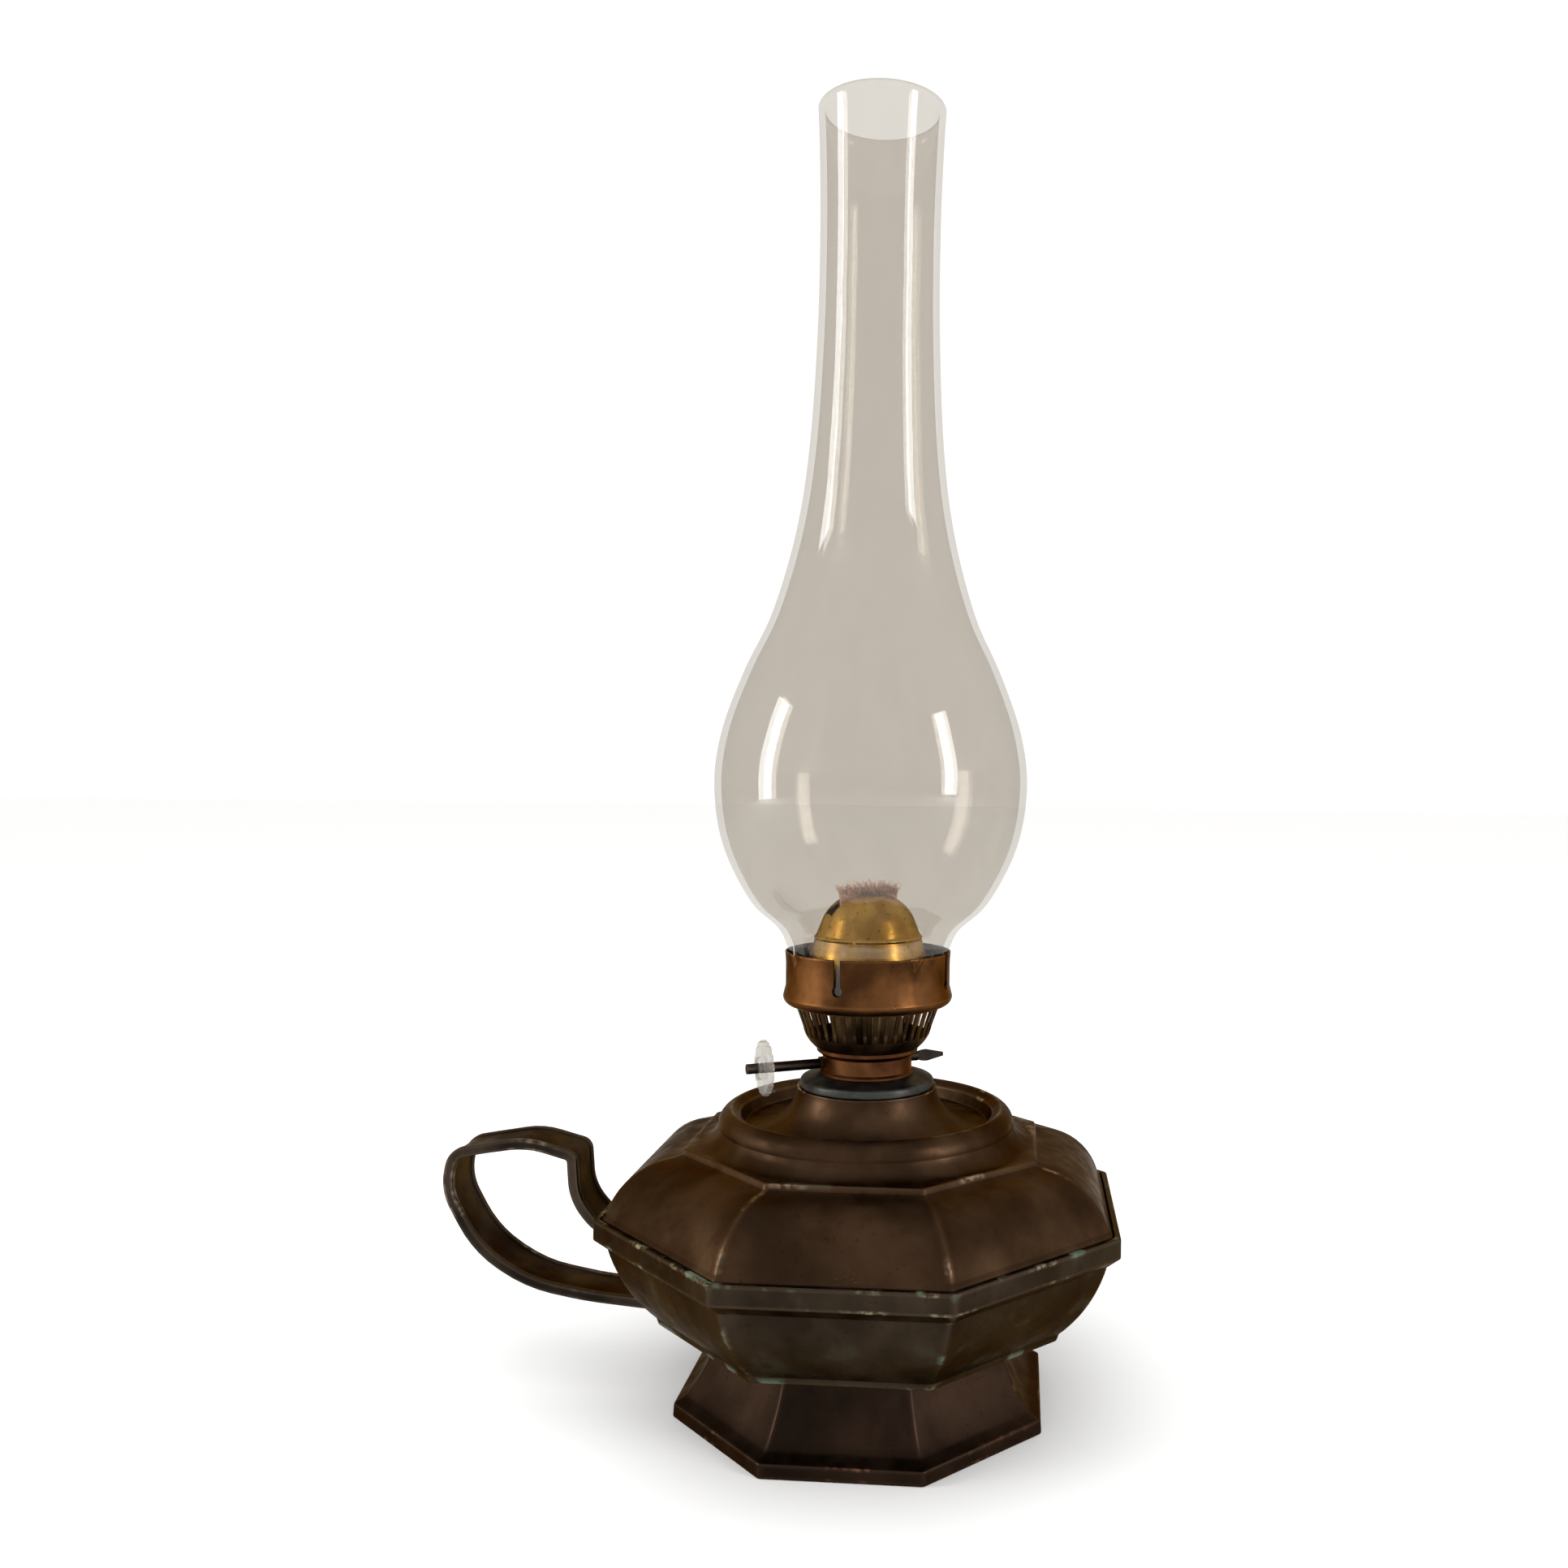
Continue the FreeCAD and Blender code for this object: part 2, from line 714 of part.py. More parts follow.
# Burner neck, with the two holes that the spindle's bushes sit in.
neck = new_body("Neck")
revolve(neck, [
    ("socket_radius", "collar_top"),
    ("neck_lip_radius", "collar_top"),
    ("neck_lip_radius", "neck_lip_top"),
    ("neck_radius", "neck_low"),
    ("neck_radius", "neck_high"),
    ("neck_bead_radius", "neck_bead"),
    ("neck_bead_radius", "neck_top"),
    ("socket_radius", "neck_top"),
])
neck_bore = cylinder("SpindleHoles", "bush_radius", "tank_low", "spindle_near + spindle_near")
neck_bore.Placement = spindle_place(-SIZES["spindle_near"])
finished(less("NeckBored", neck, neck_bore), "burner_neck")

for label, low, high in (("bush_near", "- bush_outer", "- bush_inner"),
                         ("bush_far", "bush_inner", "bush_outer")):
    bush = turned_body(label, [
        ("spindle_radius + bush_gap", low),
        ("bush_radius", low),
        ("bush_radius", high),
        ("spindle_radius + bush_gap", high),
    ])
    bush.Placement = spindle_place(0)

# Burner floor with the ways for the wick tube and the vent tube.
burner_floor = new_body("burner_floor")
pad(burner_floor, lambda sketch: circle(sketch, "floor_radius"), "floor_low", "floor_thick")
cut_through(burner_floor, "XY_Plane",
            lambda sketch: draw(sketch, box_corners("tube_half", "- tube_half_thick", "tube_half_thick")),
            "TubeWay")
cut_through(burner_floor, "XY_Plane", lambda sketch: circle(sketch, "vent_radius", "0", "- vent_offset"),
            "VentWay")
burner_floor.Placement = burner_place()
finished(burner_floor, "burner_floor")

vent = new_body("vent_tube")
pad(vent, lambda sketch: circle(sketch, "vent_radius", "0", "- vent_offset"), "vent_low",
    "vent_top - vent_low")
cut_through(vent, "XY_Plane", lambda sketch: circle(sketch, "vent_bore", "0", "- vent_offset"), "VentBore")
vent.Placement = burner_place()
finished(vent, "vent_tube")

# Wick tube: flat, with two windows in the wall beside the spindle.
tube = new_body("wick_tube")
pad(tube, lambda sketch: draw(sketch, box_corners("tube_half", "- tube_half_thick", "tube_half_thick")),
    "tube_low", "tube_top - tube_low")
cut_through(tube, "XY_Plane", lambda sketch: draw(sketch, box_corners(
    "tube_half - tube_wall", "- tube_half_thick + tube_wall", "tube_half_thick - tube_wall")), "TubeBore")


def windows(sketch):
    """The two window outlines, one for each sprocket."""
    for sign in ("- ", ""):
        centre = sign + "sprocket_place"
        draw(sketch, [
            (centre + " - window_half", "spindle_level - window_half_high"),
            (centre + " + window_half", "spindle_level - window_half_high"),
            (centre + " + window_half", "spindle_level + window_half_high"),
            (centre + " - window_half", "spindle_level + window_half_high"),
        ])


window_volume = tube.Shape.Volume
window_sketch = sketch_in(tube, "XZ_Plane", "WindowPlan")
windows(window_sketch)
window = tube.newObject("PartDesign::Pocket", "Windows")
window.Profile = window_sketch
window.Type = 1
doc.recompute()
if tube.Shape.Volume > window_volume - SMALLEST_CUT:
    raise ValueError("the windows cut nothing")
if tube.Shape.BoundBox.YMax < 0:
    raise ValueError("the windows are in the wrong wall")
tube.Placement = burner_place()
finished(tube, "wick_tube")

wick = new_body("wick")
pad(wick, lambda sketch: draw(sketch, box_corners("wick_half", "- wick_half_thick", "wick_half_thick")),
    "wick_low", "wick_top - wick_low")
wick.Placement = burner_place()
finished(wick, "wick")

# Air basket.
basket = new_body("burner_basket")
revolve(basket, [
    ("socket_radius", "neck_top"),
    ("basket_low_radius", "neck_top"),
    ("basket_heel_radius", "basket_heel", "basket_curve", 1),
    ("basket_mid_radius", "basket_mid"),
    ("basket_top_radius", "basket_top"),
    ("basket_top_radius - sheet", "basket_top"),
    ("basket_mid_radius - sheet", "basket_mid", "basket_curve", -1),
    ("basket_heel_radius - sheet", "basket_heel + sheet"),
    ("basket_low_radius - sheet", "neck_top + sheet"),
    ("socket_radius", "neck_top + sheet"),
])
slot = cut_through(basket, "YZ_Plane",
                   lambda sketch: draw(sketch, box_corners("slot_half", "slot_low", "slot_high")),
                   "AirSlot", one_way=True)
around(basket, slot, "basket_slots")
finished(basket, "burner_basket")

# Gallery: a floor ring and a springy wall with keyhole slits.
gallery = new_body("gallery")
revolve(gallery, [
    ("gallery_floor_radius", "basket_top"),
    ("gallery_heel_radius", "basket_top", "gallery_heel_curve", 1),
    ("gallery_curl_radius", "gallery_curl"),
    ("gallery_waist_radius", "gallery_waist"),
    ("gallery_waist_radius", "gallery_neck"),
    ("gallery_radius", "gallery_top"),
    ("gallery_radius - sheet", "gallery_top"),
    ("gallery_waist_radius - sheet", "gallery_neck"),
    ("gallery_waist_radius - sheet", "gallery_waist"),
    ("gallery_curl_radius - sheet", "gallery_curl", "gallery_heel_curve", -1),
    ("gallery_heel_radius", "basket_top + sheet"),
    ("gallery_floor_radius", "basket_top + sheet"),
])


slit_corners = box_corners("slit_half", "slit_low", "gallery_top + cut_past")
slit = cut_through(gallery, "YZ_Plane", lambda sketch: draw(sketch, slit_corners), "Slit", one_way=True)
around(gallery, slit, "gallery_slits")
keyhole = cut_through(gallery, "YZ_Plane",
                      lambda sketch: circle(sketch, "keyhole_radius", "0", "keyhole_level"),
                      "Keyhole", one_way=True)
around(gallery, keyhole, "gallery_slits")
gallery.Placement = Placement(Vector(0, 0, 0), Rotation(Vector(0, 0, 1), SIZES["slit_azimuth"]))
finished(gallery, "gallery")

# Diffuser: a perforated disc on the gallery's floor.
diffuser = new_body("diffuser")
pad(diffuser, lambda sketch: circle(sketch, "diffuser_radius"), "basket_top + sheet", "diffuser_thick")
cut_through(diffuser, "XY_Plane",
            lambda sketch: draw(sketch, box_corners("tube_half", "- tube_half_thick", "tube_half_thick")),
            "TubeWay")
for ring, count in (("air_ring_inner", "air_holes_inner"), ("air_ring_outer", "air_holes_outer")):
    hole = cut_through(diffuser, "XY_Plane",
                       lambda sketch: circle(sketch, "air_hole_radius", ring, "0"), ring)
    around(diffuser, hole, count)
diffuser.Placement = burner_place()
finished(diffuser, "diffuser")

# Flame dome, with a slot along the wick.
dome = new_body("flame_dome")
revolve(dome, [
    ("dome_foot_radius", "basket_top + sheet + diffuser_thick"),
    ("dome_foot_radius", "basket_top + sheet + diffuser_thick + sheet"),
    ("dome_skirt_radius", "basket_top + sheet + diffuser_thick + sheet"),
    ("dome_shoulder_radius", "dome_shoulder"),
    ("dome_bead_low_radius", "dome_bead_low"),
    ("dome_bead_radius", "dome_bead"),
    ("dome_bead_top_radius", "dome_bead_top"),
    ("dome_side_radius", "dome_side", "dome_side_curve", 1),
    ("crown_radius", "crown", "crown_curve", 1),
    ("0", "dome_top"),
    ("0", "dome_top - sheet", "crown_curve", -1),
    ("crown_radius - sheet", "crown - sheet", "dome_side_curve", -1),
    ("dome_side_radius - sheet", "dome_side"),
    ("dome_bead_low_radius - sheet", "dome_bead_low"),
    ("dome_shoulder_radius - sheet", "dome_shoulder"),
    ("dome_skirt_radius - sheet", "basket_top + sheet + diffuser_thick"),
])
dome_slot_sketch = sketch_in(dome, "XY_Plane", "FlameSlotPlan", "dome_side")
draw(dome_slot_sketch, box_corners("dome_slot_reach", "- dome_slot_half", "dome_slot_half"))
dome_volume = dome.Shape.Volume
dome_slot = dome.newObject("PartDesign::Pocket", "FlameSlot")
dome_slot.Profile = dome_slot_sketch
dome_slot.Type = 1
dome_slot.Reversed = True
doc.recompute()
if dome.Shape.Volume > dome_volume - SMALLEST_CUT:
    raise ValueError("the dome's slot cuts nothing")
dome.Placement = burner_place()
finished(dome, "flame_dome")

# Spindle: a round shaft whose far end is hammered to a pointed leaf.
shaft = cylinder("Shaft", "spindle_radius", "tank_low", "spindle_near + spindle_far")
shaft.Placement = spindle_place(-SIZES["spindle_near"])
leaf_body = new_body("Leaf")
leaf_sketch = sketch_in(leaf_body, "XZ_Plane", "LeafPlan")
draw(leaf_sketch, [
    ("- leaf_half_thick", "spindle_far - leaf_root"),
    ("leaf_half_thick", "spindle_far - leaf_root", "leaf_long", 1),
    ("leaf_half", "spindle_far + leaf_half + leaf_half"),
    ("leaf_half_thick", "spindle_far + leaf_long"),
    ("- leaf_half_thick", "spindle_far + leaf_long"),
    ("- leaf_half", "spindle_far + leaf_half + leaf_half", "leaf_long", 1),
])
leaf = leaf_body.newObject("PartDesign::Pad", "LeafPlate")
leaf.Profile = leaf_sketch
leaf.Midplane = True
leaf.setExpression("Length", bound("leaf_half_thick + leaf_half_thick"))
doc.recompute()
leaf_body.Placement = spindle_place(0)
finished(joined("SpindleWhole", shaft, leaf_body), "spindle")

sprocket_places = {"sprocket_left": -SIZES["sprocket_place"], "sprocket_right": SIZES["sprocket_place"]}
for label, place in sprocket_places.items():
    sprocket = new_body(label)
    pad(sprocket, lambda sketch: circle(sketch, "sprocket_root"), "0",
        "sprocket_thick")
    tooth = pad(sprocket, lambda sketch: draw(sketch, [
        ("sprocket_root - tooth_half", "- tooth_half"),
        ("sprocket_tip", "- tooth_point_half"),
        ("sprocket_tip", "tooth_point_half"),
        ("sprocket_root - tooth_half", "tooth_half"),
    ]), "0", "sprocket_thick", "Tooth")
    around(sprocket, tooth, "sprocket_teeth")
    cut_through(sprocket, "XY_Plane", lambda sketch: circle(sketch, "spindle_radius"), "ShaftBore")
    sprocket.Placement = spindle_place(place - SIZES["sprocket_thick"] / 2)
    finished(sprocket, label)

# Thumbwheel: a clear disc with a hub and a scalloped edge.
knob = new_body("wick_knob")
revolve(knob, [
    ("spindle_radius", "0"),
    ("knob_hub_radius", "0"),
    ("knob_hub_radius", "knob_hub_thick - knob_thick"),
    ("knob_radius", "knob_hub_thick - knob_thick"),
    ("knob_radius", "knob_hub_thick"),
    ("spindle_radius", "knob_hub_thick"),
])
scallop = cut_through(knob, "XY_Plane",
                      lambda sketch: circle(sketch, "scallop_radius", "knob_radius + scallop_outset", "0"),
                      "Scallop")
around(knob, scallop, "knob_scallops")
knob.Placement = spindle_place(-SIZES["knob_place"] - SIZES["knob_hub_thick"] / 2)
finished(knob, "wick_knob")


# Chimney: blown glass, so its line is one smooth spline. It leans a little in the gallery.
def chimney_wire():
    """The closed half section of the glass."""
    wall = SIZES["glass"]
    outer = Part.BSplineCurve()
    outer.interpolate([Vector(radius, 0, level) for radius, level in CHIMNEY_LINE])
    inner = Part.BSplineCurve()
    inner.interpolate([Vector(radius - wall, 0, level) for radius, level in CHIMNEY_LINE])
    low = SIZES["chimney_low"]
    seat_radius, seat_top = CHIMNEY_LINE[0]
    mouth_radius, mouth = CHIMNEY_LINE[-1]
    heel_out, heel_in = Vector(seat_radius, 0, low), Vector(seat_radius - wall, 0, low)
    seat_out, seat_in = Vector(seat_radius, 0, seat_top), Vector(seat_radius - wall, 0, seat_top)
    mouth_out, mouth_in = Vector(mouth_radius, 0, mouth), Vector(mouth_radius - wall, 0, mouth)
    edges = [
        Part.LineSegment(heel_out, seat_out).toShape(),
        outer.toShape(),
        Part.LineSegment(mouth_out, mouth_in).toShape(),
        inner.toShape(),
        Part.LineSegment(seat_in, heel_in).toShape(),
        Part.LineSegment(heel_in, heel_out).toShape(),
    ]
    return Part.Wire(Part.__sortEdges__(edges))


glass_solid = Part.Face(chimney_wire()).revolve(Vector(0, 0, 0), Vector(0, 0, 1), 360)
chimney = doc.addObject("Part::Feature", "Chimney")
chimney.Shape = glass_solid
seat_centre = Vector(0, 0, SIZES["chimney_low"])
chimney.Placement = Placement(Vector(0, 0, 0), Rotation(Vector(0, 1, 0), SIZES["chimney_lean"]), seat_centre)
finished(chimney, "chimney")


# Handle: a strap of even thickness along a rounded line, with a raised rib along each edge.
def rounded_line(points):
    """Straight runs joined by tangent arcs, as a wire in the plane Y = 0."""
    places = [Vector(x, 0, z) for x, z, bend in points]
    edges = []
    reached = places[0]
    for index in range(1, len(places) - 1):
        corner = places[index]
        back = (places[index - 1] - corner).normalize()
        ahead = (places[index + 1] - corner).normalize()
        half = back.getAngle(ahead) / 2
        bend = points[index][2]
        reach = bend / math.tan(half)
        start = corner + back * reach
        finish = corner + ahead * reach
        middle_way = (back + ahead).normalize()
        nearest = corner + middle_way * (bend / math.sin(half) - bend)
        if (start - reached).dot(corner - reached) <= 0:
            raise ValueError("bend %d of the strap is too large" % index)
        edges.append(Part.LineSegment(reached, start).toShape())
        edges.append(Part.Arc(start, nearest, finish).toShape())
        reached = finish
    edges.append(Part.LineSegment(reached, places[-1]).toShape())
    return Part.Wire(edges)


def strap_solid(low_offset, high_offset, near, far):
    """A band between two offsets of the strap's line, and between two Y places."""
    line = rounded_line(STRAP_LINE)
    sides = [line.makeOffset2D(offset, 0, False, True, False) for offset in (low_offset, high_offset)]
    caps = []
    for vertex in (0, -1):
        ends = [side.OrderedVertexes[vertex].Point for side in sides]
        caps.append(Part.LineSegment(ends[0], ends[1]).toShape())
    band = Part.Face(Part.Wire(Part.__sortEdges__(sides[0].Edges + sides[1].Edges + caps)))
    band.translate(Vector(0, near, 0))
    return band.extrude(Vector(0, far - near, 0))


half_thick = SIZES["strap_thick"] / 2
strap = strap_solid(-half_thick, half_thick, -SIZES["strap_half"], SIZES["strap_half"])
for near in (-SIZES["strap_half"], SIZES["strap_half"] - SIZES["strap_edge"]):
    rib = strap_solid(-half_thick - SIZES["strap_rib"], half_thick + SIZES["strap_rib"],
                      near, near + SIZES["strap_edge"])
    strap = strap.fuse(rib)
strap = strap.removeSplitter()
strap_shape = doc.addObject("Part::Feature", "StrapWhole")
strap_shape.Shape = strap
finished(less("StrapEnds", strap_shape, joined("TankBody", bowl_outside, shoulder_outside)), "handle")



def check_walls(label, level):
    """Stop if any of the eight sides of a hollow octagonal sub-part has no wall, or a different one."""
    shape = next(node.Shape for node in NODES if node.Label == label)
    walls = []
    for side in range(8):
        way = Rotation(Vector(0, 0, 1), 45 * side).multVec(Vector(SLAB_LENGTH, 0, 0))
        axis_point = Vector(0, 0, amount(level))
        ray = Part.makeLine(axis_point, axis_point + way)
        walls.append(sum(edge.Length for edge in ray.common(shape).Edges))
    if min(walls) < SAME_LENGTH or max(walls) - min(walls) > SAME_LENGTH:
        raise ValueError("%s has unequal walls: %s" % (label, walls))


# Check the document and the hollow shells, then write each sub-part.
doc.recompute()
check_walls("foot", "foot_cove_low + cut_past")
check_walls("font_lower", "bowl_top - cut_past")
check_walls("font_upper", "shoulder_low + cut_past")
for item in doc.Objects:
    if "Invalid" in item.State or "Error" in item.State:
        raise ValueError("%s failed: %s" % (item.Name, item.State))
os.makedirs("parts", exist_ok=True)
for node in NODES:
    shape = node.Shape
    if shape.isNull() or not shape.isValid():
        raise ValueError("%s has no valid shape" % node.Label)
    if not shape.Solids:
        raise ValueError("%s holds no solid" % node.Label)
    shape.exportStep("parts/%s.step" % node.Label)
    print("%-16s %d solid(s) %10.1f mm3" % (node.Label, len(shape.Solids), shape.Volume))
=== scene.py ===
import json
import math
import random

import bpy
from mathutils import Matrix, Vector, noise


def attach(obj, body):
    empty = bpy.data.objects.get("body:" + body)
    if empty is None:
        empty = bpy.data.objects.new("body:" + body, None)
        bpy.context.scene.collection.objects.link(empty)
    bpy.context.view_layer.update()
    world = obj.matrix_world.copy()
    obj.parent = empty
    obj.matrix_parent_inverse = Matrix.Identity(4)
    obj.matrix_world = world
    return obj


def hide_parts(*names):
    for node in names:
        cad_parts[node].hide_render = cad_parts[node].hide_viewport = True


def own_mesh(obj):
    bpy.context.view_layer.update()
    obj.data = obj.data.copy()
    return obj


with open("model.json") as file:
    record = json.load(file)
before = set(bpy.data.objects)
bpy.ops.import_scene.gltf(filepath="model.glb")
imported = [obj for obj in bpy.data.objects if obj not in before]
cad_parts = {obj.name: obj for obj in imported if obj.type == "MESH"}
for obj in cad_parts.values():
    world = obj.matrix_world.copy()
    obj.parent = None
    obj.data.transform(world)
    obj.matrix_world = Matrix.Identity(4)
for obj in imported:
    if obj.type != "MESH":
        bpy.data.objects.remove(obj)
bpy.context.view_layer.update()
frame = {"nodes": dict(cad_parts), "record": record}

# The looks of a small oil hand lamp. Outlines are in millimetres in the CAD frame, and every mesh is
# made in metres. The lamp's axis is Z, the handle is towards -X and the front is towards -Y.

MM = 0.001
SEED = 20


# ---------------------------------------------------------------- camera, floor and light

CAMERA_PLACE = (0.03273, -0.28701, 0.13506)
CAMERA_YAW = -4.372
CAMERA_PITCH = 0.153
CAMERA_ROLL = 0.543
LENS = 29.995
SENSOR = 36.0
SHIFT = (-0.0858, -0.0060)


def add_camera():
    """The camera at the viewing angle: yaw turns it right, pitch up and roll about its own line of sight."""
    yaw, pitch, roll = (math.radians(a) for a in (CAMERA_YAW, CAMERA_PITCH, CAMERA_ROLL))
    ahead = Vector((math.sin(yaw) * math.cos(pitch), math.cos(yaw) * math.cos(pitch), math.sin(pitch)))
    right = Vector((math.cos(yaw), -math.sin(yaw), 0.0))
    up = right.cross(ahead)
    turned_right = math.cos(roll) * right + math.sin(roll) * up
    turned_up = -math.sin(roll) * right + math.cos(roll) * up
    data = bpy.data.cameras.new("camera")
    data.lens = LENS
    data.sensor_width = SENSOR
    data.shift_x, data.shift_y = SHIFT
    data.clip_start = 0.01
    data.clip_end = 50
    camera = bpy.data.objects.new("camera", data)
    place = Matrix((turned_right, turned_up, -ahead)).transposed().to_4x4()
    place.translation = Vector(CAMERA_PLACE)
    camera.matrix_world = place
    bpy.context.scene.collection.objects.link(camera)
    bpy.context.scene.camera = camera


def add_floor():
    """A plain pale floor that the lamp stands on."""
    size = 6.0
    mesh = bpy.data.meshes.new("floor")
    corners = [(-size, -size, 0), (size, -size, 0), (size, size, 0), (-size, size, 0)]
    mesh.from_pydata(corners, [], [(0, 1, 2, 3)])
    floor = bpy.data.objects.new("floor", mesh)
    bpy.context.scene.collection.objects.link(floor)
    material = bpy.data.materials.new("floor_pale")
    material.use_nodes = True
    shader = material.node_tree.nodes["Principled BSDF"]
    shader.inputs["Base Color"].default_value = (0.93, 0.93, 0.925, 1)
    shader.inputs["Roughness"].default_value = 0.8
    mesh.materials.append(material)


LIT_PLACE = Vector((0, 0, 0.12))


def area_light(name, azimuth, elevation, distance, size, power, mirrored=True):
    """A soft light at an azimuth and elevation about the lamp, turned to face its middle."""
    a, e = math.radians(azimuth), math.radians(elevation)
    way = Vector((math.cos(a) * math.cos(e), math.sin(a) * math.cos(e), math.sin(e)))
    data = bpy.data.lights.new(name, "AREA")
    data.shape = "RECTANGLE"
    data.size, data.size_y = size
    data.energy = power
    light = bpy.data.objects.new(name, data)
    light.location = LIT_PLACE + way * distance
    light.visible_glossy = mirrored
    light.rotation_euler = way.to_track_quat("Z", "Y").to_euler()
    bpy.context.scene.collection.objects.link(light)


def add_lights():
    """A pale room, a large soft light above and two tall windows, one at each side of the camera."""
    world = bpy.data.worlds.new("pale_room")
    bpy.context.scene.world = world
    world.use_nodes = True
    shade = world.node_tree.nodes["Background"]
    shade.inputs["Color"].default_value = (1.0, 0.995, 0.985, 1)
    shade.inputs["Strength"].default_value = 1.06
    area_light("window_left", -164, 12, 1.1, (0.24, 0.85), 7.0)
    area_light("window_right", -26, 14, 1.1, (0.20, 0.75), 5.0)
    area_light("overhead", -90, 68, 1.5, (1.2, 1.2), 5.0, mirrored=False)
    bpy.context.scene.view_settings.view_transform = "Standard"


# ---------------------------------------------------------------- mesh helpers

def link_mesh(name, vertices, faces, wear=None):
    """A new smooth-shaded object from places in millimetres, with how rubbed each place is."""
    mesh = bpy.data.meshes.new(name)
    mesh.from_pydata([tuple(c * MM for c in place) for place in vertices], [], faces)
    mesh.polygons.foreach_set("use_smooth", [True] * len(mesh.polygons))
    if wear is not None:
        mesh.attributes.new("wear", "FLOAT", "POINT").data.foreach_set("value", wear)
    mesh.update()
    piece = bpy.data.objects.new(name, mesh)
    bpy.context.scene.collection.objects.link(piece)
    return piece


def arc(start, end, radius, turn, steps=10):
    """Places on an arc between two (across, up) places, without the start. turn is 1 or -1."""
    (x0, y0), (x1, y1) = start, end
    chord = math.hypot(x1 - x0, y1 - y0)
    height = math.sqrt(max(radius * radius - chord * chord / 4, 0))
    middle = ((x0 + x1) / 2, (y0 + y1) / 2)
    side = (-(y1 - y0) / chord * turn, (x1 - x0) / chord * turn)
    centre = (middle[0] + side[0] * height, middle[1] + side[1] * height)
    first = math.atan2(y0 - centre[1], x0 - centre[0])
    last = math.atan2(y1 - centre[1], x1 - centre[0])
    sweep = (last - first + math.pi) % (2 * math.pi) - math.pi
    return [(centre[0] + radius * math.cos(first + sweep * k / steps),
             centre[1] + radius * math.sin(first + sweep * k / steps)) for k in range(1, steps + 1)]


def outline(corners, kind=0):
    """A section's places from its corners: (across, up), or (across, up, radius, turn) before an arc.

    Each place gets a third value, kind: 0 on an octagon, 1 on a circle.
    """
    places = [corners[0][:2]]
    for before, after in zip(corners, corners[1:]):
        if len(before) == 4:
            places += arc(before[:2], after[:2], before[2], before[3])
        else:
            places.append(after[:2])
    return [(x, z, kind) for x, z in places]


SHARP = math.radians(17)        # a smaller turn than this is left as it is
SUPPORT = 0.4                   # how far beside a rounded corner the next place is
ROUND_SHARE = 0.4               # the share of a line that one rounded corner may use
ROUND_STEPS = 4


def soften(loop, radius, closed=True):
    """A section with its sharp corners rounded, as (across, up, kind, wear), with places beside each."""
    out = []
    count = len(loop)
    for index, (x, z, kind) in enumerate(loop):
        inner = closed or 0 < index < count - 1
        here = Vector((x, z))
        before = here - Vector(loop[index - 1][:2])
        after = Vector(loop[(index + 1) % count][:2]) - here
        turn = math.atan2(before.cross(after), before.dot(after)) if inner else 0
        if abs(turn) < SHARP:
            out.append((x, z, kind, 0.0))
            continue
        reach = radius * math.tan(abs(turn) / 2)
        reach = min(reach, before.length * ROUND_SHARE, after.length * ROUND_SHARE)
        start = here - before.normalized() * reach
        end = here + after.normalized() * reach
        if before.length > 4 * SUPPORT:
            out.append((*(start - before.normalized() * SUPPORT), kind, 0.0))
        for k in range(ROUND_STEPS + 1):
            t = k / ROUND_STEPS
            place = start * (1 - t) ** 2 + here * 2 * t * (1 - t) + end * t * t
            out.append((*place, kind, 1.0 if turn > 0 else 0.0))
        if after.length > 4 * SUPPORT:
            out.append((*(end + after.normalized() * SUPPORT), kind, 0.0))
    return out


# An octagon's corner is rounded by a circle this share of its half width; the flats end at CORNER_END.
CORNER_SHARE = 0.03
CORNER_WORN = 1.0               # degrees beside a corner where the metal is rubbed
CORNER_END = math.degrees(math.atan((1 - CORNER_SHARE) * math.tan(math.radians(22.5))))
OCTANT = (-22.2, -CORNER_END, -21.2, -19, -14, -9, -4, 0, 4, 9, 14, 19, 21.2, CORNER_END, 22.2, 22.5)
OCTAGON_ANGLES = [45 * side + offset for side in range(8) for offset in OCTANT]


def octagon_radius(half, angle):
    """How far a rounded octagon's edge is from its centre, at an angle in degrees."""
    local = abs((angle + 22.5) % 45 - 22.5)
    if local <= CORNER_END + 0.001:
        return half / math.cos(math.radians(local))
    off = math.radians(22.5 - local)
    centre = (1 - CORNER_SHARE) * half / math.cos(math.radians(22.5))
    return centre * math.cos(off) + math.sqrt((CORNER_SHARE * half) ** 2 - (centre * math.sin(off)) ** 2)


def joined_rings(rings, closed):
    """Faces that join each ring to the next, and the last to the first, or with a cap at both ends."""
    count = len(rings[0])
    faces = []
    for low in range(len(rings) if closed else len(rings) - 1):
        high = (low + 1) % len(rings)
        for here in range(count):
            there = (here + 1) % count
            faces.append((low * count + here, low * count + there,
                          high * count + there, high * count + here))
    if not closed:
        faces.append(tuple(reversed(range(count))))
        faces.append(tuple(range((len(rings) - 1) * count, len(rings) * count)))
    return faces


def turned(name, section, angles, closed=True):
    """A solid from a section of (across, up, kind, wear) places carried round the lamp's axis."""
    rings, wear = [], []
    for across, up, kind, rubbed in section:
        ring = []
        for angle in angles:
            reach = across if kind else octagon_radius(across, angle)
            ring.append((reach * math.cos(math.radians(angle)), reach * math.sin(math.radians(angle)), up))
            local = 22.5 - abs((angle + 22.5) % 45 - 22.5)
            corner = 0 if kind else max(0, 1 - local / CORNER_WORN)
            wear.append(max(rubbed, corner))
        rings.append(ring)
    return link_mesh(name, [p for ring in rings for p in ring], joined_rings(rings, closed), wear)


